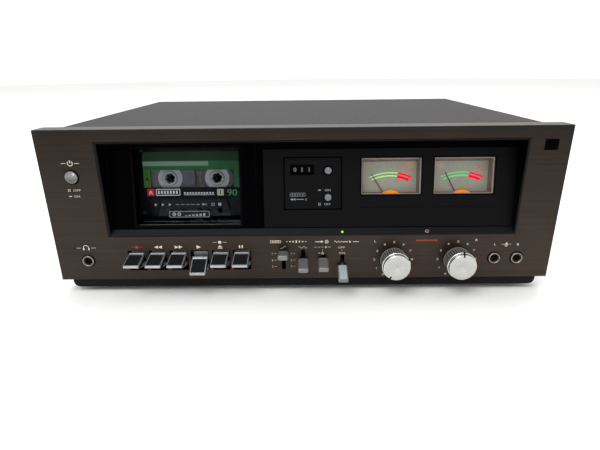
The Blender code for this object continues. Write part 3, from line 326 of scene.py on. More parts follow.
def hull(points, bevel=0.0, segs=2):
    bm = bmesh.new()
    for q in points:
        bm.verts.new(q)
    bmesh.ops.convex_hull(bm, input=bm.verts)
    bmesh.ops.dissolve_limit(bm, angle_limit=0.01, verts=bm.verts, edges=bm.edges)
    if bevel:
        bmesh.ops.bevel(bm, geom=list(bm.edges), offset=bevel, segments=segs, profile=0.5, affect="EDGES")
    return bm


def lathe(profile, segs=48, wave=None, closed=False):
    """Turn (radius, height) points about local Z. wave(i, k) scales point i's radius at step k."""
    bm = bmesh.new()
    rings = []
    for i, (r, h) in enumerate(profile):
        if r < 1e-6:
            rings.append([bm.verts.new((0, 0, h))])
        else:
            ring = []
            for k in range(segs):
                a = 2 * math.pi * k / segs
                f = wave(i, k) if wave else 1.0
                ring.append(bm.verts.new((r * f * math.cos(a), r * f * math.sin(a), h)))
            rings.append(ring)
    pairs = list(zip(rings, rings[1:])) + ([(rings[-1], rings[0])] if closed else [])
    for a, b in pairs:
        if len(a) == 1 and len(b) == 1:
            continue
        for k in range(segs):
            j = (k + 1) % segs
            if len(a) == 1:
                bm.faces.new((a[0], b[k], b[j]))
            elif len(b) == 1:
                bm.faces.new((a[k], a[j], b[0]))
            else:
                bm.faces.new((a[k], a[j], b[j], b[k]))
    return bm


def plate(outlines, lo, hi, bevel=0.0, axis="y"):
    """Flat outlines with holes (even-odd), given thickness. axis y: points are (x, z), thickness along Y."""
    cu = bpy.data.curves.new("outline", "CURVE")
    cu.dimensions = "2D"
    cu.fill_mode = "BOTH"
    cu.extrude = max(abs(hi - lo) / 2 - bevel, 0.0)
    if bevel:
        cu.bevel_depth = bevel
        cu.bevel_resolution = 1
        cu.offset = -bevel
    for pts in outlines:
        sp = cu.splines.new("POLY")
        sp.points.add(len(pts) - 1)
        for slot, (a, b) in zip(sp.points, pts):
            slot.co = (a, b, 0, 1)
        sp.use_cyclic_u = True
    tmp = bpy.data.objects.new("outline", cu)
    bpy.context.scene.collection.objects.link(tmp)
    bpy.context.view_layer.update()
    mesh = bpy.data.meshes.new_from_object(tmp.evaluated_get(bpy.context.evaluated_depsgraph_get()))
    bpy.data.objects.remove(tmp, do_unlink=True)
    bpy.data.curves.remove(cu)
    bm = bmesh.new()
    bm.from_mesh(mesh)
    bpy.data.meshes.remove(mesh)
    bmesh.ops.remove_doubles(bm, verts=bm.verts, dist=1e-4)
    mid = (lo + hi) / 2
    if axis == "y":
        bm.transform(Matrix(((1, 0, 0, 0), (0, 0, -1, mid), (0, 1, 0, 0), (0, 0, 0, 1))))
    elif axis == "x":
        bm.transform(Matrix(((0, 0, 1, mid), (1, 0, 0, 0), (0, 1, 0, 0), (0, 0, 0, 1))))
    else:
        bm.transform(mv(0, 0, mid))
    return bm


def rect(x0, z0, x1, z1, r=0.0, n=5):
    if r <= 0:
        return [(x0, z0), (x1, z0), (x1, z1), (x0, z1)]
    pts = []
    for cx, cz, a0 in ((x1 - r, z0 + r, -90), (x1 - r, z1 - r, 0), (x0 + r, z1 - r, 90), (x0 + r, z0 + r, 180)):
        for i in range(n + 1):
            a = math.radians(a0 + 90 * i / n)
            pts.append((cx + r * math.cos(a), cz + r * math.sin(a)))
    return pts


def disc(cx, cz, r, n=28):
    return [(cx + r * math.cos(2 * math.pi * i / n), cz + r * math.sin(2 * math.pi * i / n)) for i in range(n)]


def sector(cx, cz, r0, r1, a0, a1, n=20):
    """Outline of a ring sector; angles clockwise from up, in degrees."""
    pts = []
    for i in range(n + 1):
        a = math.radians(a0 + (a1 - a0) * i / n)
        pts.append((cx + r1 * math.sin(a), cz + r1 * math.cos(a)))
    for i in range(n, -1, -1):
        a = math.radians(a0 + (a1 - a0) * i / n)
        pts.append((cx + r0 * math.sin(a), cz + r0 * math.cos(a)))
    return pts


def line(x0, z0, x1, z1, t):
    dx, dz = x1 - x0, z1 - z0
    k = t / 2 / math.hypot(dx, dz)
    return [(x0 + dz * k, z0 - dx * k), (x1 + dz * k, z1 - dx * k), (x1 - dz * k, z1 + dx * k), (x0 - dz * k, z0 + dx * k)]


def words(s, x, z, h, lo, hi, stretch=1.2, align="CENTER", bold=0.0, width=None):
    """Built-in type as a thin raised mesh in the front plane. h is the capital's height; width overrides stretch."""
    cu = bpy.data.curves.new("type", "FONT")
    cu.body = s
    cu.size = h / 0.73
    cu.align_x = align
    cu.extrude = abs(hi - lo) / 2
    cu.offset = bold
    cu.resolution_u = 3
    tmp = bpy.data.objects.new("type", cu)
    bpy.context.scene.collection.objects.link(tmp)
    bpy.context.view_layer.update()
    mesh = bpy.data.meshes.new_from_object(tmp.evaluated_get(bpy.context.evaluated_depsgraph_get()))
    bpy.data.objects.remove(tmp, do_unlink=True)
    bpy.data.curves.remove(cu)
    bm = bmesh.new()
    bm.from_mesh(mesh)
    bpy.data.meshes.remove(mesh)
    xs = [v.co.x for v in bm.verts] or [0, 1]
    if width:
        stretch = width / (max(xs) - min(xs))
    bm.transform(Matrix.Diagonal((stretch, 1, 1, 1)))
    bm.transform(Matrix(((1, 0, 0, x), (0, 0, -1, (lo + hi) / 2), (0, 1, 0, z - h / 2), (0, 0, 0, 1))))
    return bm


class Piece:
    """Collects shapes given in millimetres of a frame, then becomes one object with its vertices in the world."""

    def __init__(self, name, frame_matrix=PAN):
        self.name, self.m, self.bm, self.mats = name, frame_matrix, bmesh.new(), []

    def add(self, bm, material, m=None, flip=True):
        if material not in self.mats:
            self.mats.append(material)
        i = self.mats.index(material)
        if flip:
            bmesh.ops.recalc_face_normals(bm, faces=bm.faces)
        for f in bm.faces:
            f.material_index = i
        if m is not None:
            bm.transform(m)
        tmp = bpy.data.meshes.new("tmp")
        bm.to_mesh(tmp)
        bm.free()
        self.bm.from_mesh(tmp)
        bpy.data.meshes.remove(tmp)
        return self

    def done(self, body="root", replaces=(), angle=38):
        self.bm.transform(self.m)
        me = bpy.data.meshes.new(self.name)
        self.bm.to_mesh(me)
        self.bm.free()
        for m in self.mats:
            me.materials.append(m)
        me.shade_smooth()
        me.set_sharp_from_angle(angle=math.radians(angle))
        o = bpy.data.objects.new(self.name, me)
        bpy.context.scene.collection.objects.link(o)
        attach(o, body)
        if replaces:
            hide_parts(*replaces)
        return o


def pan_point(x, y, z):
    """World point, in mm, of a point in the panel frame."""
    return (x, y + Y0, z + Z0)


def lean_point(x, w, v):
    q = LEAN @ Vector((x, w, v))
    return tuple(c / MM for c in q)


def screw(piece, m, r=2.6, h=1.3, head=DARKSTEEL, turn=20):
    """Pan head with a cross recess; local Z points out."""
    prof = [(r, 0.0), (r, h * 0.35), (r * 0.86, h * 0.72), (r * 0.55, h * 0.94), (r * 0.2, h), (0, h)]
    piece.add(lathe(prof, 28), head, m)
    cross = []
    for k in (0, 90):
        b = box((-r * 0.52, -r * 0.12, h * 0.55), (r * 0.52, r * 0.12, h + 0.03))
        b.transform(rot(turn + k, "Z"))
        piece.add(b, DEEP, m)


# ============================================================ CAD finishes
FINISH = {
    "front_panel": PANEL, "window_bezel": BLACK, "top_cover": COVER, "base_tray": TRAY, "rear_panel": REAR,
    "lever_axle": STEEL, "level_control_board": BOARD, "instrument_fascia": FASCIA, "meter_window": METERGLASS,
    "meter_left_needle": NEEDLE, "meter_right_needle": NEEDLE, "counter_axle": STEEL, "mechanism_chassis": DARKSTEEL,
    "motor": STEEL, "drive_belt": RUBBER, "mains_transformer": COPPER, "circuit_board": BOARD,
    "spindle_supply": BLACK, "spindle_take_up": BLACK, "flywheel": STEEL, "motor_pulley": BRASS,
    "head_carriage": HEADS, "door_frame": DOORM, "door_window": PANE,
    "meter_left_case": BLACK, "meter_right_case": BLACK,
}
for name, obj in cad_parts.items():
    if name in FINISH:
        obj.data.materials.clear()
        obj.data.materials.append(FINISH[name])

# ================================================================== case
p = Piece("badge_plate")
BADGE = mat("badge_black", (2, 2, 2), 0.3, 0.0, (700, 700, 700), var=0.25, rvar=0.04, bump=0.05, dist=0.00001, spec=0.01)
p.add(plate([rect(198.1, 114.9, 208.9, 123.9, 0.5)], -0.55, 0.0, 0.12), BADGE)
p.add(plate([rect(198.5, 115.3, 208.5, 123.5, 0.4), rect(198.7, 115.5, 208.3, 123.3, 0.3)], -0.58, -0.5), GLOSS)
p.done()

p = Piece("cover_side_screws")
for s in (-1, 1):
    for y in (48.0, 262.0):
        for z in (16.0,):
            m = mv(s * 205.3, y, z) @ rot(90 * s, "Y")
            p.add(lathe([(4.6, 0), (4.6, 0.25), (3.2, 0.6), (0, 0.6)], 32), DARKSTEEL, m)
            screw(p, m @ mv(0, 0, 0.5), 3.0, 1.5, DARKSTEEL, 15 + y)
p.done()

p = Piece("rear_screws")
k = 0
for x in (-196, -98, 0, 98, 196):
    for z in (127.5, 2.0):
        k += 1
        screw(p, mv(x, 291.2, z) @ BACK, 2.4, 1.2, DARKSTEEL, 23 * k)
for x, z in ((121.5, 50), (168.5, 50)):
    k += 1
    screw(p, mv(x, 292.45, z) @ BACK, 1.7, 0.9, ZINC, 31 * k)
p.done()

# Rear sockets: moulding, nickel sleeves, colour rings.
WHITEP = mat("socket_white", (222, 220, 212), 0.45, 0.0, (600, 600, 600), var=0.05, bump=0.1)
REDP = mat("socket_red", (168, 26, 24), 0.42, 0.0, (600, 600, 600), var=0.06, bump=0.1)
p = Piece("rear_socket_block")
p.add(box((118.3, 272, 34.3), (171.7, 292.5, 65.7), 0.6, 3), BLACK)
for x in (130.0, 145.0):
    for z, insul in ((42.5, REDP), (57.5, WHITEP)):
        m = mv(x, 292.4, z) @ BACK
        p.add(lathe([(1.6, 0), (1.6, 9.7), (2.3, 9.9), (2.9, 9.9), (2.9, 0)], 36), insul, m)
        p.add(lathe([(2.95, 0.0), (2.95, 9.6), (3.3, 10.1), (4.0, 10.1), (4.2, 9.8), (4.2, 0.6), (5.6, 0.6), (5.6, 0.0)], 40),
              NICKEL, m)
p.done(replaces=("rear_sockets",))

p = Piece("rear_marks")
for z, s in ((42.5, "R"), (57.5, "L")):
    p.add(words(s, 0, 0, 3.0, -0.05, 0.0), INKDIM, mv(158.0, 292.55, z) @ rot(180, "Z"))
for x, up in ((130.0, 1), (145.0, -1)):
    tri = [(-1.8, -1.4 * up), (1.8, -1.4 * up), (0, 1.8 * up)]
    p.add(plate([tri], -0.06, 0.0), INKDIM, mv(x, 291.2, 71.0) @ rot(180, "Z"))
    p.add(plate([rect(-0.4, -4.2, 0.4, -1.2) if up > 0 else rect(-0.4, 1.2, 0.4, 4.2)], -0.06, 0.0), INKDIM,
          mv(x, 291.2, 71.0) @ rot(180, "Z"))
p.add(plate([rect(-22, -13, 22, 13, 1.2), rect(-21.2, -12.2, 21.2, 12.2, 0.9)], -0.06, 0.0), INKDIM,
      mv(20, 291.2, 60) @ rot(180, "Z"))
p.add(plate([rect(-20.6, -11.6, 20.6, 11.6, 0.8)], -0.12, 0.0), SATIN, mv(20, 291.2, 60) @ rot(180, "Z"))
bolt = [(0.5, 3.4), (-2.0, -0.6), (-0.2, -0.4), (-0.9, -3.6), (1.9, 0.7), (0.1, 0.5)]
p.add(plate([bolt], -0.06, 0.0), INKDIM, mv(-176, 291.2, 38) @ rot(180, "Z"))
p.done()

p = Piece("cord_grommet")
p.add(lathe([(3.3, 6.6), (5.2, 6.6), (6.1, 6.0), (6.6, 5.0), (6.6, 2.6), (5.4, 2.6), (5.4, -0.0), (6.8, -0.0), (6.8, -3.0),
             (3.3, -3.0)], 40, closed=True), RUBBER, mv(-176, 288.9, 22) @ BACK)
p.done(replaces=("cord_gland",))

for name, x, y in (("foot_front_left", -180, 42), ("foot_front_right", 180, 42),
                   ("foot_rear_left", -180, 262), ("foot_rear_right", 180, 262)):
    p = Piece(name + "_turned")
    m = mv(x, y, -8.4)
    p.add(lathe([(0, -2.4), (3.6, -2.4), (3.6, -5.0), (9.2, -5.0), (9.8, -4.7), (10.0, -4.3), (10.5, -2.4), (11.0, -0.3),
                 (0, -0.3)], 48), RUBBER, m)
    screw(p, m @ mv(0, 0, -2.4) @ rot(180, "X"), 2.6, 1.1, ZINC, 30)
    p.done(replaces=(name,))

# =========================================================== front controls
# Power button: turned and dished.
p = Piece("power_button_turned", PAN @ mv(-193.75, 0, 95.9) @ FRONT)
# painted highlight: a bright spot at the upper right of the dish
POWERM = mat("power_turned", (124, 125, 126), 0.2, 1.0, ROUND, var=0.12, rvar=0.05, bump=0.3, dist=0.00001,
             ring=(pan_point(-193.75, 0, 95.9), (0, -1, 0), 1.4), rings=(0.55, 1.35),
             painted_light_spot=(pan_point(-191.7, -0.5, 98.3), 1.9, (225, 226, 226), 0.75))
p.add(lathe([(0, -0.3), (1.0, -0.27), (2.2, -0.12), (3.4, 0.15), (4.3, 0.55), (4.7, 0.85), (4.95, 0.9), (5.25, 0.8),
             (5.5, 0.4), (5.5, -7.0), (3.0, -7.0), (3.0, -24.0), (0, -24.0)], 72), POWERM)
p.done("power_button", replaces=("power_button",))

p = Piece("power_surround")
p.add(plate([disc(-194.3, 95.8, 7.5, 56), disc(-193.45, 95.85, 6.25, 56)], -0.08, 0.9, 0.05), PANEL)
p.add(lathe([(7.15, 0.0), (7.15, -3.0), (7.0, -3.0), (7.0, 0.0)], 56), DEEP,
      mv(-194.3, 0, 95.8) @ FRONT)
p.done()

# Piano keys.
KEY_X0, KEY_PITCH = -148.3, 18.8
KEYS = ("key_record", "key_rewind", "key_fast_forward", "key_play", "key_stop_eject", "key_pause")
SLOPE = math.degrees(math.atan2(4.13 + 0.45, 31.2 - 13.9))
for i, name in enumerate(KEYS):
    tip = 15.0 if name == "key_play" else 0.0
    base = PAN @ mv(KEY_X0 + i * KEY_PITCH, 14.4, 22.0) @ rot(tip, "X")
    p = Piece(name + "_cap", base)
    pts = []
    for s in (-1, 1):
        pts += [(s * 6.6, -13.95, 3.62), (s * 6.6, -31.0, -0.95), (s * 6.6, -31.45, -1.35), (s * 6.6, -31.55, -2.7),
                (s * 6.9, -30.6, -3.4), (s * 7.3, -13.95, -8.4)]
    p.add(hull(pts, 0.16, 2), CHEEK)
    top = mv(0, -13.9, 4.13) @ rot(SLOPE, "X")
    # raised frame round the pad
    p.add(plate([rect(-6.6, -17.75, 6.6, 0.0, 0.35, 3), rect(-6.05, -17.35, 6.05, -2.5, 0.3, 3)], -0.75, 0.0, 0.12, "z"),
          CHROME, top)
    # rolled front edge
    p.add(box((-6.55, -31.62, -2.75), (6.55, -31.05, -0.8), 0.25, 3), LIP)
    p.add(box((-6.5, -14.9, 3.2), (6.5, -13.93, 4.2), 0.3, 3), LIP)
    # ribbed pad
    prof = [(-17.3, -0.7)]
    ribs = 16
    step = (17.3 - 2.55) / ribs
    for k in range(ribs):
        y = -17.3 + k * step
        prof += [(y + 0.04, -0.42), (y + step * 0.22, -0.16), (y + step * 0.62, -0.16), (y + step * 0.86, -0.42)]
    prof += [(-2.55, -0.7)]
    p.add(plate([prof], -6.0, 6.0, 0, "x"), PADM, top)
    # cheek mouldings: a rib along the top edge and one along the slanting lower edge
    for s in (-1, 1):
        x0, x1 = (6.5, 6.85) if s > 0 else (-6.85, -6.5)
        p.add(plate([[(-31.2, -1.9), (-31.2, -1.3), (-13.98, 3.3), (-13.98, 2.5)]], x0, x1, 0.1, "x"), LIP)
        p.add(plate([[(-30.4, -3.1), (-13.98, -7.9), (-13.98, -6.9), (-30.6, -2.7)]], x0, x1 + 0.35 * s if s > 0 else x1,
                    0.1, "x"), CHROME)
        x0, x1 = (6.85, 7.24) if s > 0 else (-7.24, -6.85)
        p.add(plate([[(-22.5, -4.5), (-14.0, -7.1), (-14.0, -3.9), (-19.5, -3.3)]], x0, x1, 0.1, "x"), SKIRT)
    p.add(box((-5.0, -15.0, -6.4), (5.0, -2.0, -1.6), 0.3), BLACK)
    p.add(box((-6.5, -9.7, -3.0), (6.5, -7.7, 6.5), 0.3), SATIN)
    b = lathe([(1.85, -5.0), (3.7, -5.0), (3.7, 5.0), (1.85, 5.0)], 32, closed=True)
    p.add(b, BLACK, rot(90, "Y"))
    p.done(name, replaces=(name,))

# Toggle levers.
LEVER_X = (-17.1, 0.4, 18.0, 35.3)
LEVER_REST = (20.0, 2.0, 3.0, -15.5)
LEVERS = ("lever_equaliser", "lever_bias", "lever_input", "lever_noise_filter")
for name, x, rest in zip(LEVERS, LEVER_X, LEVER_REST):
    p = Piece(name + "_cap", PAN @ mv(x, 18.0, 18.55) @ rot(-rest, "X"))
    cap = mv(0, -20.6, 0) @ rot(11.2, "X")
    p.add(box((-4.4, -17.4, -2.28), (4.4, 0, 2.10), 1.35, 5), LEVER, cap)
    # slightly raised rim on the top face round a darker field
    p.add(plate([rect(-3.75, -16.6, 3.75, -0.8, 1.3, 6), rect(-3.3, -16.1, 3.3, -1.25, 1.0, 6)], 1.8, 2.26, 0.08, "z"), LEVER, cap)
    # the noise filter lever's field takes the lighter copy, painted highlight
    p.add(plate([rect(-3.4, -16.2, 3.4, -1.15, 1.0, 6)], 1.8, 2.16, 0.0, "z"),
          LEVERTOP_PAINTED_LIGHT if name == "lever_noise_filter" else LEVERTOP, cap)
    p.add(box((-1.15, -23.6, -1.2), (1.15, -1.9, 1.2), 0.25), STEEL)
    b = lathe([(1.85, -2.8), (3.6, -2.8), (3.6, 2.8), (1.85, 2.8)], 32, closed=True)
    p.add(b, BLACK, rot(90, "Y"))
    p.done(name, replaces=(name,))

# Black liners round the lever slots (rounded ends) and the key slots.
p = Piece("lever_slot_liners")
for x, (lo, hi) in zip(LEVER_X, ((9.2, 27.9), (9.2, 27.9), (9.2, 23.1), (9.2, 23.1))):
    p.add(plate([rect(x - 1.75, lo - 0.25, x + 1.75, hi + 0.25, 1.7, 6), rect(x - 1.42, lo + 0.1, x + 1.42, hi - 0.1, 1.4, 6)],
                -0.06, 3.2), DEEP)
p.done()
p = Piece("key_slot_liners")
for i in range(6):
    x = KEY_X0 + i * KEY_PITCH
    p.add(plate([rect(x - 8.0, 9.3, x + 8.0, 28.5, 0.5, 3), rect(x - 7.7, 9.6, x + 7.7, 28.2, 0.4, 3)], -0.05, 3.4), DEEP)
p.done()

# Level knobs.
KNOB_X, KNOB_Z = (80.8, 137.1), 18.1
SETTING = {"left": (60.0, -150.0), "right": (4.0, 0.0)}
RIDGES = 34
for side, x in (("left", KNOB_X[0]), ("right", KNOB_X[1])):
    ring_set, disc_set = SETTING[side]
    base = PAN @ mv(x, 0, KNOB_Z) @ FRONT
    p = Piece("knob_%s_ring_knurled" % side, base @ rot(-ring_set, "Z"))
    n = RIDGES * 4
    prof = [(1.85, -12.0), (3.0, -12.0), (3.0, 1.0), (11.2, 1.0), (11.75, 1.4), (11.75, 1.7), (11.75, 12.9), (11.75, 13.3),
            (12.0, 13.55), (12.42, 13.85), (12.5, 14.1), (12.42, 14.5), (12.1, 14.85), (11.75, 15.0), (1.85, 15.0)]
    flute = {5, 6}

    def wave(i, k):
        return (0.99, 1.004, 0.99, 0.90)[k % 4] if i in flute else 1.0

    p.add(lathe(prof[:8], n, wave, False), KNURL)
    p.add(lathe([(11.0, 1.45), (11.4, 1.75), (11.4, 12.85), (11.0, 13.2)], 88), GROOVE)
    p.add(lathe(prof[7:14], n // 2), RIM)
    p.add(lathe([(11.75, 15.0), (1.85, 15.0)], 96), DEEP)
    p.add(box((-0.75, 10.9, 13.3), (0.75, 12.54, 15.08), 0.05), DEEP)
    p.done("knob_%s_ring" % side, replaces=("knob_%s_ring" % side,))

    face = mat("disc_turned_" + side, (186, 186, 183), 0.30, 1.0, ROUND, var=0.07, rvar=0.06, bump=0.4, dist=0.00001,
               ring=(pan_point(x, 0, KNOB_Z), (0, -1, 0), 3.5))
    p = Piece("knob_%s_disc_turned" % side, base @ rot(-disc_set, "Z"))
    p.add(lathe([(0, 18.42), (1.1, 18.42), (1.3, 18.5), (10.9, 18.5), (11.15, 18.47)], 96), face)
    p.add(lathe([(11.15, 18.47), (11.42, 18.3), (11.58, 18.05), (11.6, 17.8), (11.6, 15.9), (11.3, 15.3), (1.5, 15.3),
                 (1.5, -18.0), (0, -18.0)], 96), RIM)
    p.add(box((-0.7, 9.3, 17.0), (0.7, 11.63, 18.56), 0.05), DEEP)
    p.done("knob_%s_disc" % side, replaces=("knob_%s_disc" % side,))

# Jacks.
for name, x in (("jack_phones", -192.5), ("jack_mic_left", 170.3), ("jack_mic_right", 190.1)):
    p = Piece(name + "_turned", PAN @ mv(x, 0, 19.0) @ FRONT)
    p.add(lathe([(4.2, -3.3), (4.2, 0.02), (5.1, 0.02), (5.1, 1.0), (4.95, 1.45), (4.6, 1.7), (4.3, 1.7), (4.0, 1.4),
                 (3.8, 0.7), (3.8, -2.0)], 56), NICKEL)
    p.add(lathe([(3.8, 0.75), (3.3, 0.75), (3.25, 0.4), (3.25, -5.0), (2.9, -5.2)], 48), SLEEVE)
    p.add(lathe([(3.2, -5.1), (3.2, -20.0), (0, -20.0)], 40), GLOSS)
    p.add(lathe([(3.75, 0.7), (3.75, -3.3), (7.0, -3.3), (7.0, -24.0), (0, -24.0)], 40), BLACK)
    p.add(box((-0.8, 1.9, -12.0), (0.8, 3.1, -4.0), 0.2), BRASS)
    p.done("root", replaces=(name,))
# a thin dark ring round each jack nut
p = Piece("jack_dark_rings")
for x in (-192.5, 170.3, 190.1):
    p.add(lathe([(5.12, 0.0), (5.12, 0.16), (6.0, 0.12), (6.1, 0.0)], 56), DEEP, mv(x, 0, 19.0) @ FRONT)
p.done()

# Lamps in the sill.
SILL = math.degrees(math.atan2(47.0 - 42.75, 4.7 - 0.5 + 0.4))
LED_Z = 42.75 + 1.7 * math.tan(math.radians(SILL))
# painted highlight: a pale spot on the lit lamp's dome
GREEN_ON = mat("lamp_green", (110, 190, 30), 0.25, 0.0, ROUND, var=0.05, bump=0.05, emit=(120, 220, 20), power=0.75,
               painted_light_spot=(pan_point(34.5, 0.6, LED_Z + 0.9), 0.9, (240, 255, 190), 0.8))
RED_OFF = mat("lamp_red", (52, 12, 14), 0.18, 0.0, ROUND, var=0.1, bump=0.05, coat=0.8)
PINK = mat("lamp_rim", (190, 150, 158), 0.3, 0.4, ROUND, var=0.05, bump=0.05)
dome = [(0, 0.9)] + [(1.1 * math.sin(math.radians(a)), -0.2 + 1.1 * math.cos(math.radians(a)))
                     for a in (15, 30, 45, 60, 75, 90)] + [(1.1, -1.7), (0, -1.7)]
for x, name, m_ in ((34.9, "led_power", GREEN_ON), (109.1, "led_record", RED_OFF)):
    p = Piece(name + "_dome", PAN @ mv(x, 1.3, LED_Z) @ rot(SILL, "X"))
    p.add(lathe(dome, 32), m_)
    p.done("root", replaces=(name,))
    p = Piece(name + "_rim", PAN @ mv(x, 1.3, LED_Z) @ rot(SILL, "X"))
    p.add(lathe([(1.25, 0.0), (1.25, 0.3), (1.38, 0.36), (1.6, 0.3), (1.65, 0.0)], 36), BLACK if name == "led_power" else PINK)
    p.done()

# ================================================================ fascia
# Painted shade in the reveal: near-black side walls, darker towards the top, and a black strip under the top lip as
# painted shadow; a black strip along the fascia's top as painted shadow, and the fascia's dark left band.
p = Piece("reveal_painted_shade")


def on_lean(v, w):
    q = PAN.inverted() @ LEAN @ Vector((0, w, v))
    return q.y, q.z


wedge = [(1.1, 44.9), on_lean(0.6, -0.35), on_lean(75.0, -0.35), (1.1, 122.5)]
p.add(plate([wedge], 168.73, 168.79), WALL_PAINTED_SHADE, rot(90, "Z"))
p.add(plate([wedge], -184.39, -184.33), WALL_PAINTED_SHADE, rot(90, "Z"))
# painted shadow: a black strip under the reveal's top lip
p.add(plate([rect(-168.6, 122.85, 184.2, 123.7)], -0.44, -0.40), SHADOW_AND_GAP_BLACK)
p.done()
p = Piece("fascia_painted_shadow_and_left_band", LEAN)
# painted shadow: a black strip along the fascia's top, under the bezel
p.add(plate([rect(-33.3, 68.6, 183.8, 75.1, 0.3, 2)], -0.35, 0.0, 0.1), SHADOW_AND_GAP_BLACK)
p.add(plate([rect(-39.1, 0.7, -33.64, 75.1)], 1.34, 1.4), DOORM)
p.add(plate([rect(-33.66, 0.7, -33.61, 75.1)], 0.0, 1.34), DOORM)
p.done()

p = Piece("light_baffle")
p.add(box((-38.5, 9.6, 35.0), (183.0, 10.4, 50.5), 0.2), DEEP)
p.done()

p = Piece("counter_plate", LEAN)
p.add(plate([rect(-14.9, 17.2, 33.4, 61.0, 0.4, 3), rect(-10.2, 46.4, 10.6, 55.6, 0.3, 3), disc(22.5, 50.3, 4.15),
             disc(22.5, 27.0, 3.95)], -0.42, 0.0, 0.1), FASCIA2)
p.add(plate([rect(-16.2, 15.9, 34.8, 62.1, 0.4, 3), rect(-15.0, 17.1, 33.5, 61.1, 0.4, 3)], -0.05, 0.0), SHADOW_AND_GAP_BLACK)
p.add(plate([disc(22.5, 50.3, 4.14), disc(22.5, 50.3, 3.6)], -0.08, 0.0), SHADOW_AND_GAP_BLACK)
p.add(plate([disc(22.5, 27.0, 3.94), disc(22.5, 27.0, 3.6)], -0.08, 0.0), SHADOW_AND_GAP_BLACK)
p.add(lathe([(3.72, 0.0), (3.72, -3.0), (3.55, -3.0), (3.55, 0.3), (3.72, 0.3)], 40), DEEP, mv(22.5, 0, 50.3) @ FRONT)
p.add(lathe([(3.72, 0.0), (3.72, -3.0), (3.55, -3.0), (3.55, 0.3), (3.72, 0.3)], 40), DEEP, mv(22.5, 0, 27.0) @ FRONT)
p.done()

p = Piece("counter_mask", LEAN)
p.add(plate([rect(-11.4, 45.6, 11.2, 56.4)] + [rect(x - 2.35, 46.6, x + 2.35, 55.4) for x in (-6.2, 0.0, 6.2)], 3.05, 4.3),
      DEEP)
p.done()

DIGIT = mat("digit_ink", (150, 152, 154), 0.5, 0.0, (1500, 1500, 1500), var=0.08, bump=0.05, spec=0.2)
# number wheels, with ten figures printed round each rim
for name, x, shown in (("counter_wheel_hundreds", -6.2, 0), ("counter_wheel_tens", 0.0, 1), ("counter_wheel_ones", 6.2, 1)):
    p = Piece(name + "_printed", LEAN @ mv(x, 15.1, 51.0))
    R = 10.5
    p.add(lathe([(1.85, 2.2), (R - 0.5, 2.2), (R - 0.12, 2.05), (R, 1.8), (R, -1.8), (R - 0.12, -2.05), (R - 0.5, -2.2),
                 (1.85, -2.2)], 60, closed=True), WHEEL, rot(90, "Y"))
    for k in range(10):
        b = words(str((shown + k) % 10), 0, 0, 3.8, -0.03, 0.03, 1.05, "CENTER", 0.02)
        for q in range(-8, 9):
            bmesh.ops.bisect_plane(b, geom=list(b.verts) + list(b.edges) + list(b.faces), plane_co=(0, 0, q * 0.27),
                                   plane_no=(0, 0, 1))
        a0 = -k * 36.0
        for v in b.verts:
            ang = math.radians(a0) + v.co.z / R
            rad = R + 0.07 - v.co.y
            v.co = Vector((v.co.x, -rad * math.cos(ang), rad * math.sin(ang)))
        p.add(b, DIGIT, None, False)
    p.done(name, replaces=(name,))

for name, v in (("counter_reset_button", 50.3), ("memory_button", 27.0)):
    p = Piece(name + "_cap", LEAN @ mv(22.5, 0, v) @ FRONT)
    p.add(lathe([(0, 2.35), (1.6, 2.42), (2.2, 2.53), (2.6, 2.56), (2.85, 2.46), (2.98, 2.25), (3.0, 2.0), (3.0, -8.0),
                 (1.5, -8.0), (1.5, -16.0), (0, -16.0)], 44), BUTTON)
    p.done(name, replaces=(name,))

# fascia printing: generic marks only
p = Piece("fascia_marks", LEAN)
F0, F1 = -0.47, -0.42
p.add(words("ON", 19.6, 33.4, 1.9, F0, F1, 1.25, "LEFT", 0.02), INKFASC)
p.add(words("OFF", 19.0, 21.0, 1.9, F0, F1, 1.25, "LEFT", 0.02), INKFASC)
p.add(plate([rect(13.9, 32.9, 16.3, 33.8)], F0, F1), INKFASC)
p.add(plate([rect(14.0, 19.9, 16.0, 22.1), rect(14.45, 20.35, 15.55, 21.65)], F0, F1), INKFASC)
for k in range(3):
    x = -8.6 + k * 4.6
    p.add(plate([rect(x - 2.0, 28.0, x + 2.0, 31.0, 0.4, 3), rect(x - 1.75, 28.25, x + 1.75, 30.75, 0.3, 3)], F0, F1), INKFASC)
    p.add(words("0", x, 29.5, 1.7, F0, F1, 1.2), INKFASC)
p.add(plate([[(-10.6, 25.4), (-8.4, 24.3), (-8.4, 26.5)]], F0, F1), INKFASC)
p.add(plate([[(-8.2, 25.4), (-6.0, 24.3), (-6.0, 26.5)]], F0, F1), INKFASC)
p.add(plate([rect(-5.2, 25.15, 1.4, 25.65)], F0, F1), INKFASC)
p.add(words("0", 3.4, 25.4, 1.9, F0, F1, 1.2), INKFASC)
p.done()

# Meters.
METER_X = ((51.6, 103.2), (114.4, 166.2))
V0, V1 = 29.1, 60.4
GREENS = ((168, 240, 128), (104, 214, 128))
ORANGE = mat("meter_lamp", (250, 132, 4), 0.5, 0.0, (700, 700, 700), var=0.16, bump=0.1, emit=(255, 136, 2), power=0.5,
             cloud=0.12, cloud_scale=300, spec=0.06)
# painted light: the red scale glows, standing in for the meter lamp's light
METERRED = mat("meter_red", (230, 4, 44), 0.5, 0.0, (900, 900, 900), var=0.05, bump=0.05, emit=(255, 0, 48), power=0.6,
               spec=0.05)
FRAMEM = mat("meter_frame", (150, 139, 129), 0.32, 0.0, (300, 300, 300), var=0.05, bump=0.08, coat=0.3)
# painted shade: a darker copy of the frame colour for a thin line round the dial
FRAME_SHADE_DARK = mat("meter_frame_painted_shade", (92, 86, 78), 0.4, 0.0, (300, 300, 300), var=0.07, bump=0.08)
WALLM = mat("meter_wall", (150, 132, 116), 0.5, 0.0, (300, 300, 300), var=0.1, bump=0.1, spec=0.2)
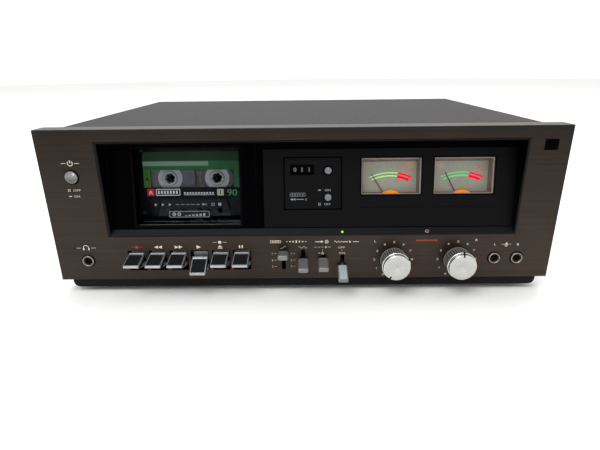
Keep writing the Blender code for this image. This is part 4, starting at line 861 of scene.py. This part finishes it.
# painted shade: a darker copy of the frame colour for the band round the dial
FRAMES = mat("meter_frame_shade", (128, 118, 108), 0.42, 0.0, (300, 300, 300), var=0.08, bump=0.08, spec=0.2)
# painted light: the teal figures glow, standing in for the meter lamp's light
TEAL = mat("meter_teal", (66, 172, 104), 0.5, 0.0, (900, 900, 900), var=0.06, bump=0.05, emit=(60, 190, 100), power=0.16)
for k, ((x0, x1), name) in enumerate(zip(METER_X, ("meter_left", "meter_right"))):
    cx = (x0 + x1) / 2
    sx = 95.5 if k == 0 else 121.5
    # painted light: the dial face and its green scale glow, and the face carries a warm patch near its top corner,
    # standing in for the meter lamp's light
    FACE = mat("dial_face_%d" % (k + 1), (152, 150, 137), 0.5, 0.0, (900, 900, 900), var=0.06, bump=0.08, cloud=0.06,
               cloud_scale=40, emit=(158, 150, 138), power=0.09,
               painted_light_spot=(lean_point(sx, 9.1, 55.0), 7.0, (206, 164, 132), 0.55))
    GREENM = mat("meter_green_%d" % (k + 1), GREENS[k], 0.5, 0.0, (900, 900, 900), var=0.05, bump=0.05,
                 emit=GREENS[k], power=0.35)
    p = Piece(name + "_dial", LEAN)
    p.add(plate([rect(x0 - 0.5, 15.7, x1 + 0.5, 60.9, 0.3, 2), disc(cx, 21.1, 1.3, 24)], 9.0, 9.28, 0.05), FACE)
    D0, D1 = 8.93, 9.0
    ax, av = cx + 0.7, 5.0
    p.add(plate([sector(ax, av, 41.85, 42.75, -25.6, 8.6)], D0, D1), GREENM)
    p.add(plate([sector(ax, av, 39.0, 40.1, -24.2, 8.2)], D0, D1), GREENM)
    p.add(plate([sector(ax, av, 41.4, 42.95, 9.2, 26.2)], D0, D1), METERRED)
    p.add(plate([sector(ax, av, 38.05, 40.45, 8.9, 24.6)], D0, D1), METERRED)
    for xx, vv, s, m_ in ((60.9, 49.8, "20", TEAL), (65.9, 51.3, "10", TEAL), (70.3, 52.0, "7", TEAL),
                          (74.2, 52.5, "5", TEAL), (78.8, 52.6, "3", TEAL), (83.4, 52.3, "0", TEAL),
                          (88.3, 51.8, "1", METERRED), (92.3, 50.8, "3", METERRED), (96.3, 49.3, "6", METERRED)):
        p.add(words(s, xx + cx - 77.4, vv + 0.3, 2.3, D0, D1, 1.0, "CENTER", 0.03), m_)
        dx, dv = xx - 78.1, vv - 5.0
        a = math.degrees(math.atan2(dx, dv))
        p.add(plate([sector(ax, av, 43.5, 44.7, a - 0.28, a + 0.28, 2)], D0, D1), m_)
    p.add(plate([line(cx - 4.6, 39.5, cx - 2.2, 39.5, 0.8)], D0, D1), TEAL)
    p.add(plate([line(cx + 2.8, 39.6, cx + 6.8, 39.6, 0.8)], D0, D1), TEAL)
    p.add(words("dB", cx + 0.9, 34.7, 1.9, D0, D1, 1.2, "CENTER", 0.03), TEAL)
    p.done()
    # rim inside the window: a moulded frame at the front, and round the dial a darker band, deepest at the top, as
    # painted shadow of the frame
    p = Piece(name + "_rim", LEAN)
    a0, a1, b0, b1 = x0 + 0.02, x1 - 0.02, V0 + 0.02, V1 - 0.02
    p.add(plate([rect(a0, b0, a1, b1, 0.2, 2), rect(a0 + 0.75, b0 + 0.6, a1 - 0.75, b1 - 0.75, 0.2, 2)], 1.2, 3.2, 0.1), FRAMEM)
    p.add(plate([rect(a0 - 0.5, b0 - 0.4, a1 + 0.5, b1 + 0.4), rect(a0 + 1.9, b0 + 0.9, a1 - 1.9, b1 - 3.0, 0.4, 3)],
                8.55, 8.98, 0.1), FRAMES)
    # side walls, open at the bottom where the needle and the hub cover come up
    p.add(plate([[(cx - 9.5, b0 - 0.4), (a0 - 0.5, b0 - 0.4), (a0 - 0.5, b1 + 0.4), (a1 + 0.5, b1 + 0.4), (a1 + 0.5, b0 - 0.4),
                  (cx + 9.5, b0 - 0.4), (cx + 9.5, b0 - 0.05), (a1 + 0.05, b0 - 0.05), (a1 + 0.05, b1 + 0.05),
                  (a0 - 0.05, b1 + 0.05), (a0 - 0.05, b0 - 0.05), (cx - 9.5, b0 - 0.05)]], 3.2, 8.56), WALLM)
    # painted shade: a thin darker frame line round the dial, deeper at the top
    p.add(plate([rect(a0 + 1.75, b0 + 0.75, a1 - 1.75, b1 - 2.85, 0.5, 3), rect(a0 + 2.1, b0 + 1.0, a1 - 2.1, b1 - 3.2, 0.4, 3)],
                8.4, 8.6), FRAME_SHADE_DARK)
    p.done()
    # glowing cover over the needle's hub
    p = Piece(name + "_hub_cover", LEAN)
    b = lathe([(0, 0.9), (6.0, 0.8), (10.8, 0.35), (13.4, 0.0), (13.4, -0.35), (0, -0.35)], 72)
    bmesh.ops.bisect_plane(b, geom=list(b.verts) + list(b.edges) + list(b.faces), plane_co=(0, -1.2, 0), plane_no=(0, 1, 0),
                           clear_inner=True)
    p.add(b, ORANGE, mv(cx + 0.6, 5.95, 18.5) @ FRONT)
    p.done()
    # step line on the fascia below the window
    p = Piece(name + "_step", LEAN)
    p.add(plate([rect(x0 - 1.2, 17.6, x1 + 1.2, 18.0)], -0.05, 0.0), DEEP)
    p.add(plate([rect(x0 - 1.3, V0 - 1.3, x1 + 1.3, V1 + 1.3, 0.3, 3), rect(x0 - 0.5, V0 - 0.5, x1 + 0.5, V1 + 0.5, 0.2, 2)],
                -0.12, 0.0, 0.05), DEEP)
    p.done()

# =================================================== cassette and its door
p = Piece("door_trim", LEAN)
p.add(plate([rect(-148.3, 1.6, -52.6, 72.6, 0.8, 4), rect(-146.4, 3.3, -54.5, 70.8, 0.4, 3)], -0.1, 0.0, 0.04), DEEP)
p.add(plate([rect(-167.9, 1.0, -39.8, 74.0, 0.6, 4), rect(-167.4, 1.5, -40.3, 73.5, 0.5, 4)], -0.06, 0.0), GLOSS)
p.done("door")
p = Piece("door_marks", LEAN)
G0, G1 = 0.12, 0.2
DOORINK = mat("door_ink", (120, 122, 122), 0.5, 0.0, (1500, 1500, 1500), var=0.08, bump=0.05)
# end-of-tape stop, as symbols: play, line, stop
for xx in (-128.6, -122.4, -116.2):
    p.add(plate([[(xx - 1.0, 20.5), (xx + 1.2, 21.7), (xx - 1.0, 22.9)]], G0, G1), DOORINK)
for xx in (-109.5, -105.0, -100.5, -96.0, -91.5):
    p.add(plate([rect(xx - 1.6, 21.5, xx + 1.6, 21.85)], G0, G1), DOORINK)
p.add(plate([[(-87.6, 20.6), (-85.2, 21.7), (-87.6, 22.8)]], G0, G1), DOORINK)
p.add(plate([rect(-84.6, 20.5, -84.2, 22.9)], G0, G1), DOORINK)
p.add(plate([rect(-79.6, 20.5, -77.2, 22.9), rect(-79.2, 20.9, -77.6, 22.5)], G0, G1), DOORINK)
p.add(plate([rect(-73.6, 20.5, -71.2, 22.9)], G0, G1), DOORINK)
p.add(plate([rect(-117.3, 10.4, -81.9, 15.8, 0.5, 3), rect(-116.9, 10.8, -82.3, 15.4, 0.4, 3)], G0, G1), DOORINK)
for xx in (-113.0, -108.6):
    p.add(plate([disc(xx, 13.1, 1.6, 20), disc(xx, 13.1, 0.7, 14)], G0, G1), DOORINK)
for q in range(6):
    h = 0.6 + 0.35 * q
    p.add(plate([rect(-103.5 + q * 3.2, 11.5, -101.6 + q * 3.2, 11.5 + h)], G0, G1), DOORINK)
p.done("door")

# Cassette: two half shells with a window, printed label, liners, reels and tape.
SMOKE = mat("cassette_smoke", (16, 17, 19), 0.24, 0.0, (300, 300, 300), var=0.12, rvar=0.05, bump=0.06, spec=0.14)
LABELG = mat("label_green", (43, 95, 59), 0.45, 0.0, (1200, 1200, 1200), var=0.06, bump=0.06, spec=0.15)
LABELD = mat("label_green_dark", (34, 60, 43), 0.45, 0.0, (1200, 1200, 1200), var=0.07, bump=0.06, spec=0.15)
LABELP = mat("label_green_pale", (122, 150, 128), 0.45, 0.0, (1200, 1200, 1200), var=0.05, bump=0.06, spec=0.15)
LABELS = mat("label_green_side", (66, 106, 42), 0.45, 0.0, (1200, 1200, 1200), var=0.05, bump=0.06, spec=0.15)
LABELB = mat("label_black", (14, 14, 16), 0.42, 0.0, (1200, 1200, 1200), var=0.15, bump=0.06, spec=0.1)
LABELR = mat("label_red", (196, 40, 52), 0.45, 0.0, (1200, 1200, 1200), var=0.06, bump=0.06, spec=0.15)
TAPE = mat("tape_pack", (114, 113, 119), 0.36, 0.1, (900, 60, 900), var=0.10, bump=0.1)
HUBW = mat("reel_white", (200, 203, 202), 0.4, 0.0, (500, 500, 500), var=0.06, bump=0.1)
HUBI = mat("reel_white_inner", (158, 160, 158), 0.42, 0.0, (500, 500, 500), var=0.08, bump=0.1)
FOOT = mat("cassette_foot", (24, 25, 28), 0.24, 0.0, (300, 300, 300), var=0.12, rvar=0.05, bump=0.06, spec=0.2)
TAPED = mat("tape_pack_dark", (92, 91, 96), 0.36, 0.1, (900, 60, 900), var=0.10, bump=0.1)
LINER = mat("liner_pale", (160, 153, 142), 0.5, 0.0, (500, 500, 500), var=0.06, bump=0.05, spec=0.2)
CX0, CX1, CV0, CV1 = -148.4, -48.0, 9.06, 72.86
HUBS = (-119.45, -76.95)
HV = 43.66
WIN = rect(-136.6, 35.6, -61.6, 51.2, 1.0, 4)
p = Piece("cassette_halves", LEAN)
outer = rect(CX0, CV0, CX1, CV1, 2.2, 5)
guide = [disc(-98.2 + s * 20.5, 14.6, 2.4, 20) for s in (-1, 1)] + [rect(-98.2 - 9 - 2.2, 13.0, -98.2 - 9 + 2.2, 17.4, 0.4, 3),
                                                                 rect(-98.2 + 9 - 2.2, 13.0, -98.2 + 9 + 2.2, 17.4, 0.4, 3)]
p.add(plate([outer, WIN], 14.4, 15.6, 0.15), SMOKE)
p.add(plate([outer] + [disc(x, HV, 6.2, 32) for x in HUBS], 21.9, 23.1, 0.15), SMOKE)
p.add(plate([outer, rect(CX0 + 1.5, CV0 + 1.5, CX1 - 1.5, CV1 - 1.5, 1.4, 4)], 15.6, 21.9), SMOKE)
trap = [(-98.2 - 33.5, CV0), (-98.2 + 33.5, CV0), (-98.2 + 29.5, CV0 + 15.6), (-98.2 - 29.5, CV0 + 15.6)]
p.add(plate([trap], 12.8, 14.45, 0.25), FOOT)
p.add(plate([trap], 23.05, 24.7, 0.25), FOOT)
for x, v in ((-144.2, 13.0), (-52.2, 13.0), (-144.2, 68.8), (-52.2, 68.8)):
    screw(p, mv(x, 14.42, v) @ FRONT, 1.7, 0.35, DARKSTEEL, 40)
p.add(lathe([(0, 0.03), (1.9, 0.03), (2.15, 0.12), (2.35, 0.0)], 28), DEEP, mv(-74.8, 12.8, 14.4) @ FRONT)
for s in (-1, 1):
    p.add(plate([[(-98.2 + s * 29.7, CV0 + 15.6), (-98.2 + s * 30.5, CV0 + 15.6), (-98.2 + s * 34.5, CV0 + 0.2),
                  (-98.2 + s * 33.7, CV0 + 0.2)][::s]], 14.3, 14.42), DEEP)
for x, v in ((-98.2 - 20.5, 14.0), (-98.2 + 12.5, 14.0), (-98.2 - 9.0, 14.6), (-98.2 + 5, 14.6)):
    p.add(lathe([(0, 0.03), (1.5, 0.03), (1.75, 0.12), (1.95, 0.0)], 28), DEEP, mv(x, 12.8, v) @ FRONT)
p.done("door", replaces=("cassette_shell",))

p = Piece("cassette_label", LEAN)
L0, L1 = 14.3, 14.39
# bands, top to bottom
p.add(plate([[(-143.0, 59.4), (-53.4, 59.4), (-53.4, 66.0), (-54.6, 67.3), (-141.8, 67.3), (-143.0, 66.0)]], L0, L1), LABELD)
p.add(plate([rect(-143.0, 51.2, -53.4, 59.4)], L0, L1), LABELG)
p.add(plate([rect(-143.0, 54.9, -84.0, 58.9)], L0 - 0.04, L0), LABELP)
p.add(plate([rect(-143.0, 35.6, -136.6, 51.2)], L0, L1), LABELS)
p.add(plate([rect(-61.6, 35.6, -53.4, 51.2)], L0, L1), LABELG)
p.add(plate([[(-143.0, 35.6), (-143.0, 27.0), (-141.8, 25.8), (-54.6, 25.8), (-53.4, 27.0), (-53.4, 35.6)]], L0, L1), LABELB)
GREENINK = mat("label_ink_green", (62, 136, 86), 0.5, 0.0, (1200, 1200, 1200), var=0.05, bump=0.05)
WHITEINK = mat("label_ink_white", (206, 208, 206), 0.5, 0.0, (1200, 1200, 1200), var=0.05, bump=0.05)
p.add(words("90", -68.2, 30.8, 6.0, L0 - 0.05, L0, 1.15, "LEFT"), GREENINK)
p.add(words("A", -139.7, 43.4, 3.2, L0 - 0.05, L0, 1.0, "CENTER", 0.05), DEEP)
# side mark, a pale field to write in, a ruled line and a small grey square
p.add(plate([rect(-140.4, 28.0, -134.0, 34.4, 0.3, 3)], L0 - 0.05, L0), LABELR)
p.add(words("A", -137.2, 31.2, 3.6, L0 - 0.09, L0 - 0.05, 1.1, "CENTER", 0.05), WHITEINK)
p.add(plate([rect(-132.6, 28.2, -110.6, 34.2, 0.5, 3), rect(-132.0, 28.8, -111.2, 33.6, 0.3, 3)], L0 - 0.05, L0), WHITEINK)
for q in range(7):
    x = -130.9 + q * 2.75
    p.add(plate([rect(x, 29.7, x + 1.5, 32.7, 0.3, 3)], L0 - 0.05, L0), WHITEINK)
p.add(plate([rect(-107.4, 28.6, -79.6, 29.0)], L0 - 0.05, L0), WHITEINK)
for q in range(11):
    x = -107.2 + q * 2.55
    p.add(plate([rect(x, 29.7, x + 1.5, 31.0)], L0 - 0.05, L0), WHITEINK)
p.add(plate([rect(-77.0, 28.0, -71.2, 33.8, 0.3, 3)], L0 - 0.05, L0), INKDIM)
p.add(words("I", -74.1, 30.9, 3.6, L0 - 0.09, L0 - 0.05, 1.4, "CENTER", 0.1), LABELB)
p.done("door")

p = Piece("cassette_window_pane", LEAN)
p.add(plate([rect(-137.4, 34.8, -60.8, 52.0)] + [disc(x, HV, 6.2, 32) for x in HUBS], 15.62, 16.1), SHELLGLASS)
p.done("door")
p = Piece("cassette_liner", LEAN)
p.add(plate([rect(-146.5, 11.0, -50.0, 71.0, 1.0, 3)] + [disc(x, HV, 6.4, 32) for x in HUBS], 21.3, 21.8), LINER)
p.done("door")

for name, x, r, m_ in (("reel_hub_left", HUBS[0], 22.9, TAPE), ("reel_hub_right", HUBS[1], 14.8, TAPED)):
    p = Piece(name + "_moulded", LEAN @ mv(x, 18.75, HV) @ FRONT)
    p.add(lathe([(4.85, 3.9), (5.1, 4.0), (5.8, 3.9), (5.8, 2.3), (6.6, 2.3), (6.9, 2.1), (6.9, 1.6), (5.8, 1.4), (5.8, -3.9),
                 (4.85, -3.9)], 64, closed=True), HUBI)
    p.add(lathe([(6.92, 2.1), (7.5, 2.1), (7.8, 2.3), (8.9, 2.3), (9.15, 2.15), (9.5, 2.15), (9.75, 2.3), (11.0, 2.3),
                 (11.0, -2.3), (5.82, -2.3), (5.82, 1.3), (6.92, 1.5)], 64, closed=True), HUBW)
    for k in range(6):
        b = box((-0.55, 3.85, -3.0), (0.55, 5.2, 3.75), 0.15)
        b.transform(rot(k * 60 + 14, "Z"))
        p.add(b, HUBI)
    p.done(name, replaces=(name,))
    p = Piece(name + "_tape", LEAN @ mv(x, 18.75, HV) @ FRONT)
    p.add(lathe([(11.02, 2.0), (r, 2.0), (r, -2.0), (11.02, -2.0)], 96, closed=True), m_)
    # fine wound steps on the pack's face
    q = 11.6
    while q < r - 0.5:
        p.add(lathe([(q, 2.0), (q + 0.12, 2.05), (q + 0.24, 2.0)], 96), TAPED if m_ is TAPE else TAPE)
        q += random.uniform(0.9, 2.1)
    p.done(name)

# Foot of the compartment: a dark shelf under the cassette, and two thin satin strips.
p = Piece("compartment_shelf_and_highlight_strips", LEAN)
p.add(box((-148.0, 3.05, 2.4), (-53.0, 12.2, 3.0), 0.1), BLACK)
# painted highlight: two thin satin strips stand in for bright highlight lines along the foot
p.add(box((-145.2, 12.4, 4.4), (-56.0, 12.7, 4.75), 0.05), SATIN)
p.add(box((-148.2, 4.2, 3.0), (-54.5, 4.5, 3.4), 0.05), SATIN)
p.done("door")

# ================================================================ panel print
p = Piece("panel_marks")
A0, A1 = -0.05, 0.0


def ink(outlines, m_=INK):
    p.add(plate(outlines, A0, A1), m_)


def wr(s, x, z, h, m_=INK, **k):
    p.add(words(s, x, z, h, A0, A1, **k), m_)


# power: symbol above, push positions below
cx, cz = -192.8, 107.6
ink([sector(cx, cz, 1.75, 2.3, 40, 320, 26)])
ink([rect(cx - 0.28, cz + 0.2, cx + 0.28, cz + 2.7)])
ink([rect(cx - 7.6, cz - 0.25, cx - 3.6, cz + 0.25)], INKDIM)
ink([rect(cx + 3.6, cz - 0.25, cx + 7.6, cz + 0.25)], INKDIM)
wr("OFF", -194.4, 84.5, 1.9, INKDIM, align="LEFT", width=6.4)
wr("ON", -194.6, 79.2, 1.9, INKDIM, align="LEFT", width=5.0)
ink([rect(-198.6, 83.5, -196.6, 85.5), rect(-198.2, 83.9, -197.0, 85.1)], INKDIM)
ink([rect(-198.8, 78.8, -196.4, 79.6)], INKDIM)
# headphones
cx, cz = -192.7, 31.4
ink([sector(cx, cz, 2.15, 2.65, -90, 90, 24)])
for s in (-1, 1):
    ink([rect(min(s * 1.7, s * 2.9) + cx, cz - 2.1, max(s * 1.7, s * 2.9) + cx, cz + 0.3, 0.4, 3)])
ink([rect(cx - 8.6, cz - 0.2, cx - 4.6, cz + 0.2)], INKDIM)
ink([rect(cx + 4.6, cz - 0.2, cx + 8.6, cz + 0.2)], INKDIM)


def tri(x, z, w, h):
    return [(x, z - h / 2), (x + w, z), (x, z + h / 2)] if w > 0 else [(x, z - h / 2), (x, z + h / 2), (x + w, z)]


ink([disc(-147.3, 31.7, 1.5, 24)], INKRED)
ink([rect(-151.7, 31.45, -150.0, 31.95)], INKRED)
ink([rect(-144.6, 31.45, -142.9, 31.95)], INKRED)
for x in (-128.6, -125.0):
    ink([tri(x, 31.7, -3.4, 3.0)])
for x in (-113.6, -110.0):
    ink([tri(x, 31.6, 3.4, 3.0)])
ink([tri(-94.2, 31.5, 4.0, 3.2)])
ink([rect(-74.6, 34.7, -72.0, 37.1)])
ink([rect(-79.4, 35.7, -76.0, 36.1)], INKDIM)
ink([rect(-70.6, 35.7, -67.2, 36.1)], INKDIM)
ink([[(-75.4, 31.2), (-71.2, 31.2), (-73.3, 33.2)]])
ink([rect(-75.4, 29.9, -71.2, 30.6)])
for x in (-56.6, -54.2):
    ink([rect(x, 30.2, x + 1.2, 32.9)])

# lever headers, as pictograms of the widths of the original words
z = 36.0
ink([rect(-28.6, z - 1.2, -19.2, z + 1.2, 0.5, 3), rect(-28.2, z - 0.85, -19.6, z + 0.85, 0.4, 3)])
for x in (-26.4, -21.4):
    ink([disc(x, z, 0.62, 16)])
ink([rect(-25.0, z - 0.3, -22.8, z + 0.3)])
for q in range(7):
    h = (0.5, 1.0, 1.5, 2.2, 1.5, 1.0, 0.5)[q]
    ink([rect(-14.6 + q * 2.8, z - h / 2, -13.4 + q * 2.8, z + h / 2)])
z = 35.7
ink([rect(11.2, z - 0.3, 16.4, z + 0.3)])
ink([tri(16.2, z, 2.2, 2.4)])
ink([sector(21.2, z, 1.1, 1.6, 0, 359, 28)])
ink([disc(21.2, z, 0.45, 14)])
z = 35.5
pts_u, pts_l = [], []
for q in range(29):
    x = 28.0 + q * 0.42
    y = 0.85 * math.sin(q * 0.9) * (1 - q / 32)
    pts_u.append((x, z + y + 0.25))
    pts_l.append((x, z + y - 0.25))
ink([pts_u + pts_l[::-1]])
ink([tri(41.0, z, 1.9, 2.2)])
ink([rect(44.4, z - 0.25, 49.4, z + 0.25)])
# second row
z = 30.5
pts_u, pts_l = [], []
for q in range(13):
    x = -19.8 + q * 0.4
    y = 0.9 * math.tanh((q - 6) * 0.5)
    pts_u.append((x, z + y + 0.22))
    pts_l.append((x, z + y - 0.22))
ink([pts_u + pts_l[::-1]], INKDIM)
pts_u, pts_l = [], []
for q in range(21):
    x = -3.8 + q * 0.38
    y = 0.8 * math.sin(q * 0.63)
    pts_u.append((x, z + y + 0.22))
    pts_l.append((x, z + y - 0.22))
ink([pts_u + pts_l[::-1]], INKDIM)
for xx in (10.4, 13.4, 16.4):
    ink([rect(xx, z - 0.2, xx + 1.9, z + 0.2)], INKDIM)
ink([disc(20.6, z, 0.85, 18)], INKDIM)
ink([rect(22.4, z - 0.2, 24.8, z + 0.2)], INKDIM)
wr("OFF", 34.4, 30.1, 1.9, INKDIM, width=6.0)
# third row
z = 24.8
ink([rect(16.9, z - 0.6, 18.3, z + 1.2, 0.65, 4)], INKDIM)
ink([sector(17.6, z, 1.15, 1.5, 90, 270, 14)], INKDIM)
ink([rect(17.42, z - 1.9, 17.78, z - 1.2)], INKDIM)
ink([tri(14.2, z, 1.4, 1.4)], INKDIM)
wr("ON", 35.0, 24.7, 1.9, INKDIM, width=5.2)
ink([rect(17.5, 27.1, 17.8, 28.3)], INKDIM)
ink([rect(34.6, 26.8, 34.9, 28.0)], INKDIM)
for z, s in ((24.7, "1"), (18.2, "2"), (12.0, "3")):
    wr(s, -27.2, z, 1.9, INKDIM)
    wr(s, -10.2, z, 1.9, INKDIM)
    ink([rect(-25.6, z - 0.15, -23.4, z + 0.15)], INKDIM)
    ink([rect(-8.6, z - 0.15, -6.8, z + 0.15)], INKDIM)

# knob scales, 0 to 10
for kx in KNOB_X:
    for q in range(11):
        a = math.radians(-150 + 30 * q)
        wr(str(q), kx + 16.8 * math.sin(a), KNOB_Z + 16.8 * math.cos(a), 1.9, INKDIM, stretch=1.55 if q < 10 else 1.2, bold=0.04)
wr("L", 63.9, 35.7, 2.1)
wr("R", 152.8, 36.2, 2.1, bold=0.03)
wr("L", 169.6, 32.0, 2.1)
wr("R", 189.8, 31.8, 2.1, bold=0.03)
# red level wedge between the knobs
for q in range(8):
    ink([rect(99.9 + q * 2.38, 35.5, 101.4 + q * 2.38, 36.9, 0.2, 2)], INKRED)
    ink([rect(101.4 + q * 2.38, 36.05, 102.28 + q * 2.38, 36.35)] if q < 7 else [rect(118.1, 35.5, 118.5, 36.9)], INKRED)
# microphone
cx, cz = 179.6, 32.0
ink([rect(cx - 0.75, cz - 0.5, cx + 0.75, cz + 1.5, 0.7, 4)])
ink([sector(cx, cz + 0.2, 1.3, 1.7, 90, 270, 16)])
ink([rect(cx - 0.2, cz - 1.9, cx + 0.2, cz - 1.2)])
ink([rect(cx - 1.1, cz - 2.1, cx + 1.1, cz - 1.8)])
ink([rect(cx - 4.2, cz - 0.2, cx - 2.4, cz + 0.2)], INKDIM)
ink([rect(cx + 2.4, cz - 0.2, cx + 4.2, cz + 0.2)], INKDIM)
p.done()

# ============================================================ stage, light
floor_mesh = bpy.data.meshes.new("floor")
bm = bmesh.new()
bmesh.ops.create_circle(bm, cap_ends=True, segments=96, radius=6.0)
bm.to_mesh(floor_mesh)
bm.free()
floor = bpy.data.objects.new("floor", floor_mesh)
bpy.context.scene.collection.objects.link(floor)
FLOORM = mat("floor_pale", (246, 246, 245), 0.7, 0.0, (30, 30, 30), var=0.006, rvar=0.03, bump=0.02, dist=0.0005, cloud=0.004,
             cloud_scale=2)
floor_mesh.materials.append(FLOORM)
floor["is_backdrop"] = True

world = bpy.data.worlds.new("studio")
bpy.context.scene.world = world
world.use_nodes = True
bg = world.node_tree.nodes["Background"]
bg.inputs["Color"].default_value = (1.0, 1.0, 1.0, 1)
wn, wl = world.node_tree.nodes, world.node_tree.links
tc = wn.new("ShaderNodeTexCoord")
sp = wn.new("ShaderNodeSeparateXYZ")
wl.new(tc.outputs["Generated"], sp.inputs["Vector"])
fade = wn.new("ShaderNodeMapRange")
fade.interpolation_type = "SMOOTHSTEP"
fade.inputs["From Min"].default_value, fade.inputs["From Max"].default_value = -0.95, 0.25
fade.inputs["To Min"].default_value, fade.inputs["To Max"].default_value = 0.80, 1.06
wl.new(sp.outputs["Y"], fade.inputs["Value"])
wl.new(fade.outputs["Result"], bg.inputs["Strength"])


def softbox(name, where, aim, w, h, power, colour=(1, 1, 1)):
    li = bpy.data.lights.new(name, "AREA")
    li.shape = "RECTANGLE"
    li.size, li.size_y = w, h
    li.energy = power
    li.color = colour
    o = bpy.data.objects.new(name, li)
    bpy.context.scene.collection.objects.link(o)
    o.location = where
    o.rotation_euler = (Vector(aim) - Vector(where)).to_track_quat("-Z", "Y").to_euler()
    o.visible_camera = False
    return o


softbox("key_light", (-0.45, -1.0, 1.6), (0, -0.05, 0.05), 1.2, 0.9, 16.0)
softbox("top_light", (0.2, 0.9, 2.2), (0, 0.3, 0.0), 2.4, 1.8, 34.0)

# ------------------------------------------------------------------ camera
rv = (0.349, 0.008, -0.010)
th = math.sqrt(sum(c * c for c in rv))
R = Matrix.Rotation(th, 3, Vector(rv)) @ Matrix(((1, 0, 0), (0, 0, -1), (0, 1, 0)))
C = Vector((0.00153, -0.502091, 0.19623))
cam = bpy.data.cameras.new("photo_camera")
cam.sensor_fit = "HORIZONTAL"
cam.sensor_width = 36.0
cam.lens = 441.3 / 600 * 36
cam.clip_start = 0.01
co = bpy.data.objects.new("photo_camera", cam)
bpy.context.scene.collection.objects.link(co)
rm = R.transposed() @ Matrix(((1, 0, 0), (0, -1, 0), (0, 0, -1)))
co.matrix_world = Matrix.Translation(C) @ rm.to_4x4()
bpy.context.scene.camera = co
bpy.context.scene.view_settings.view_transform = "Standard"

lo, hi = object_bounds()
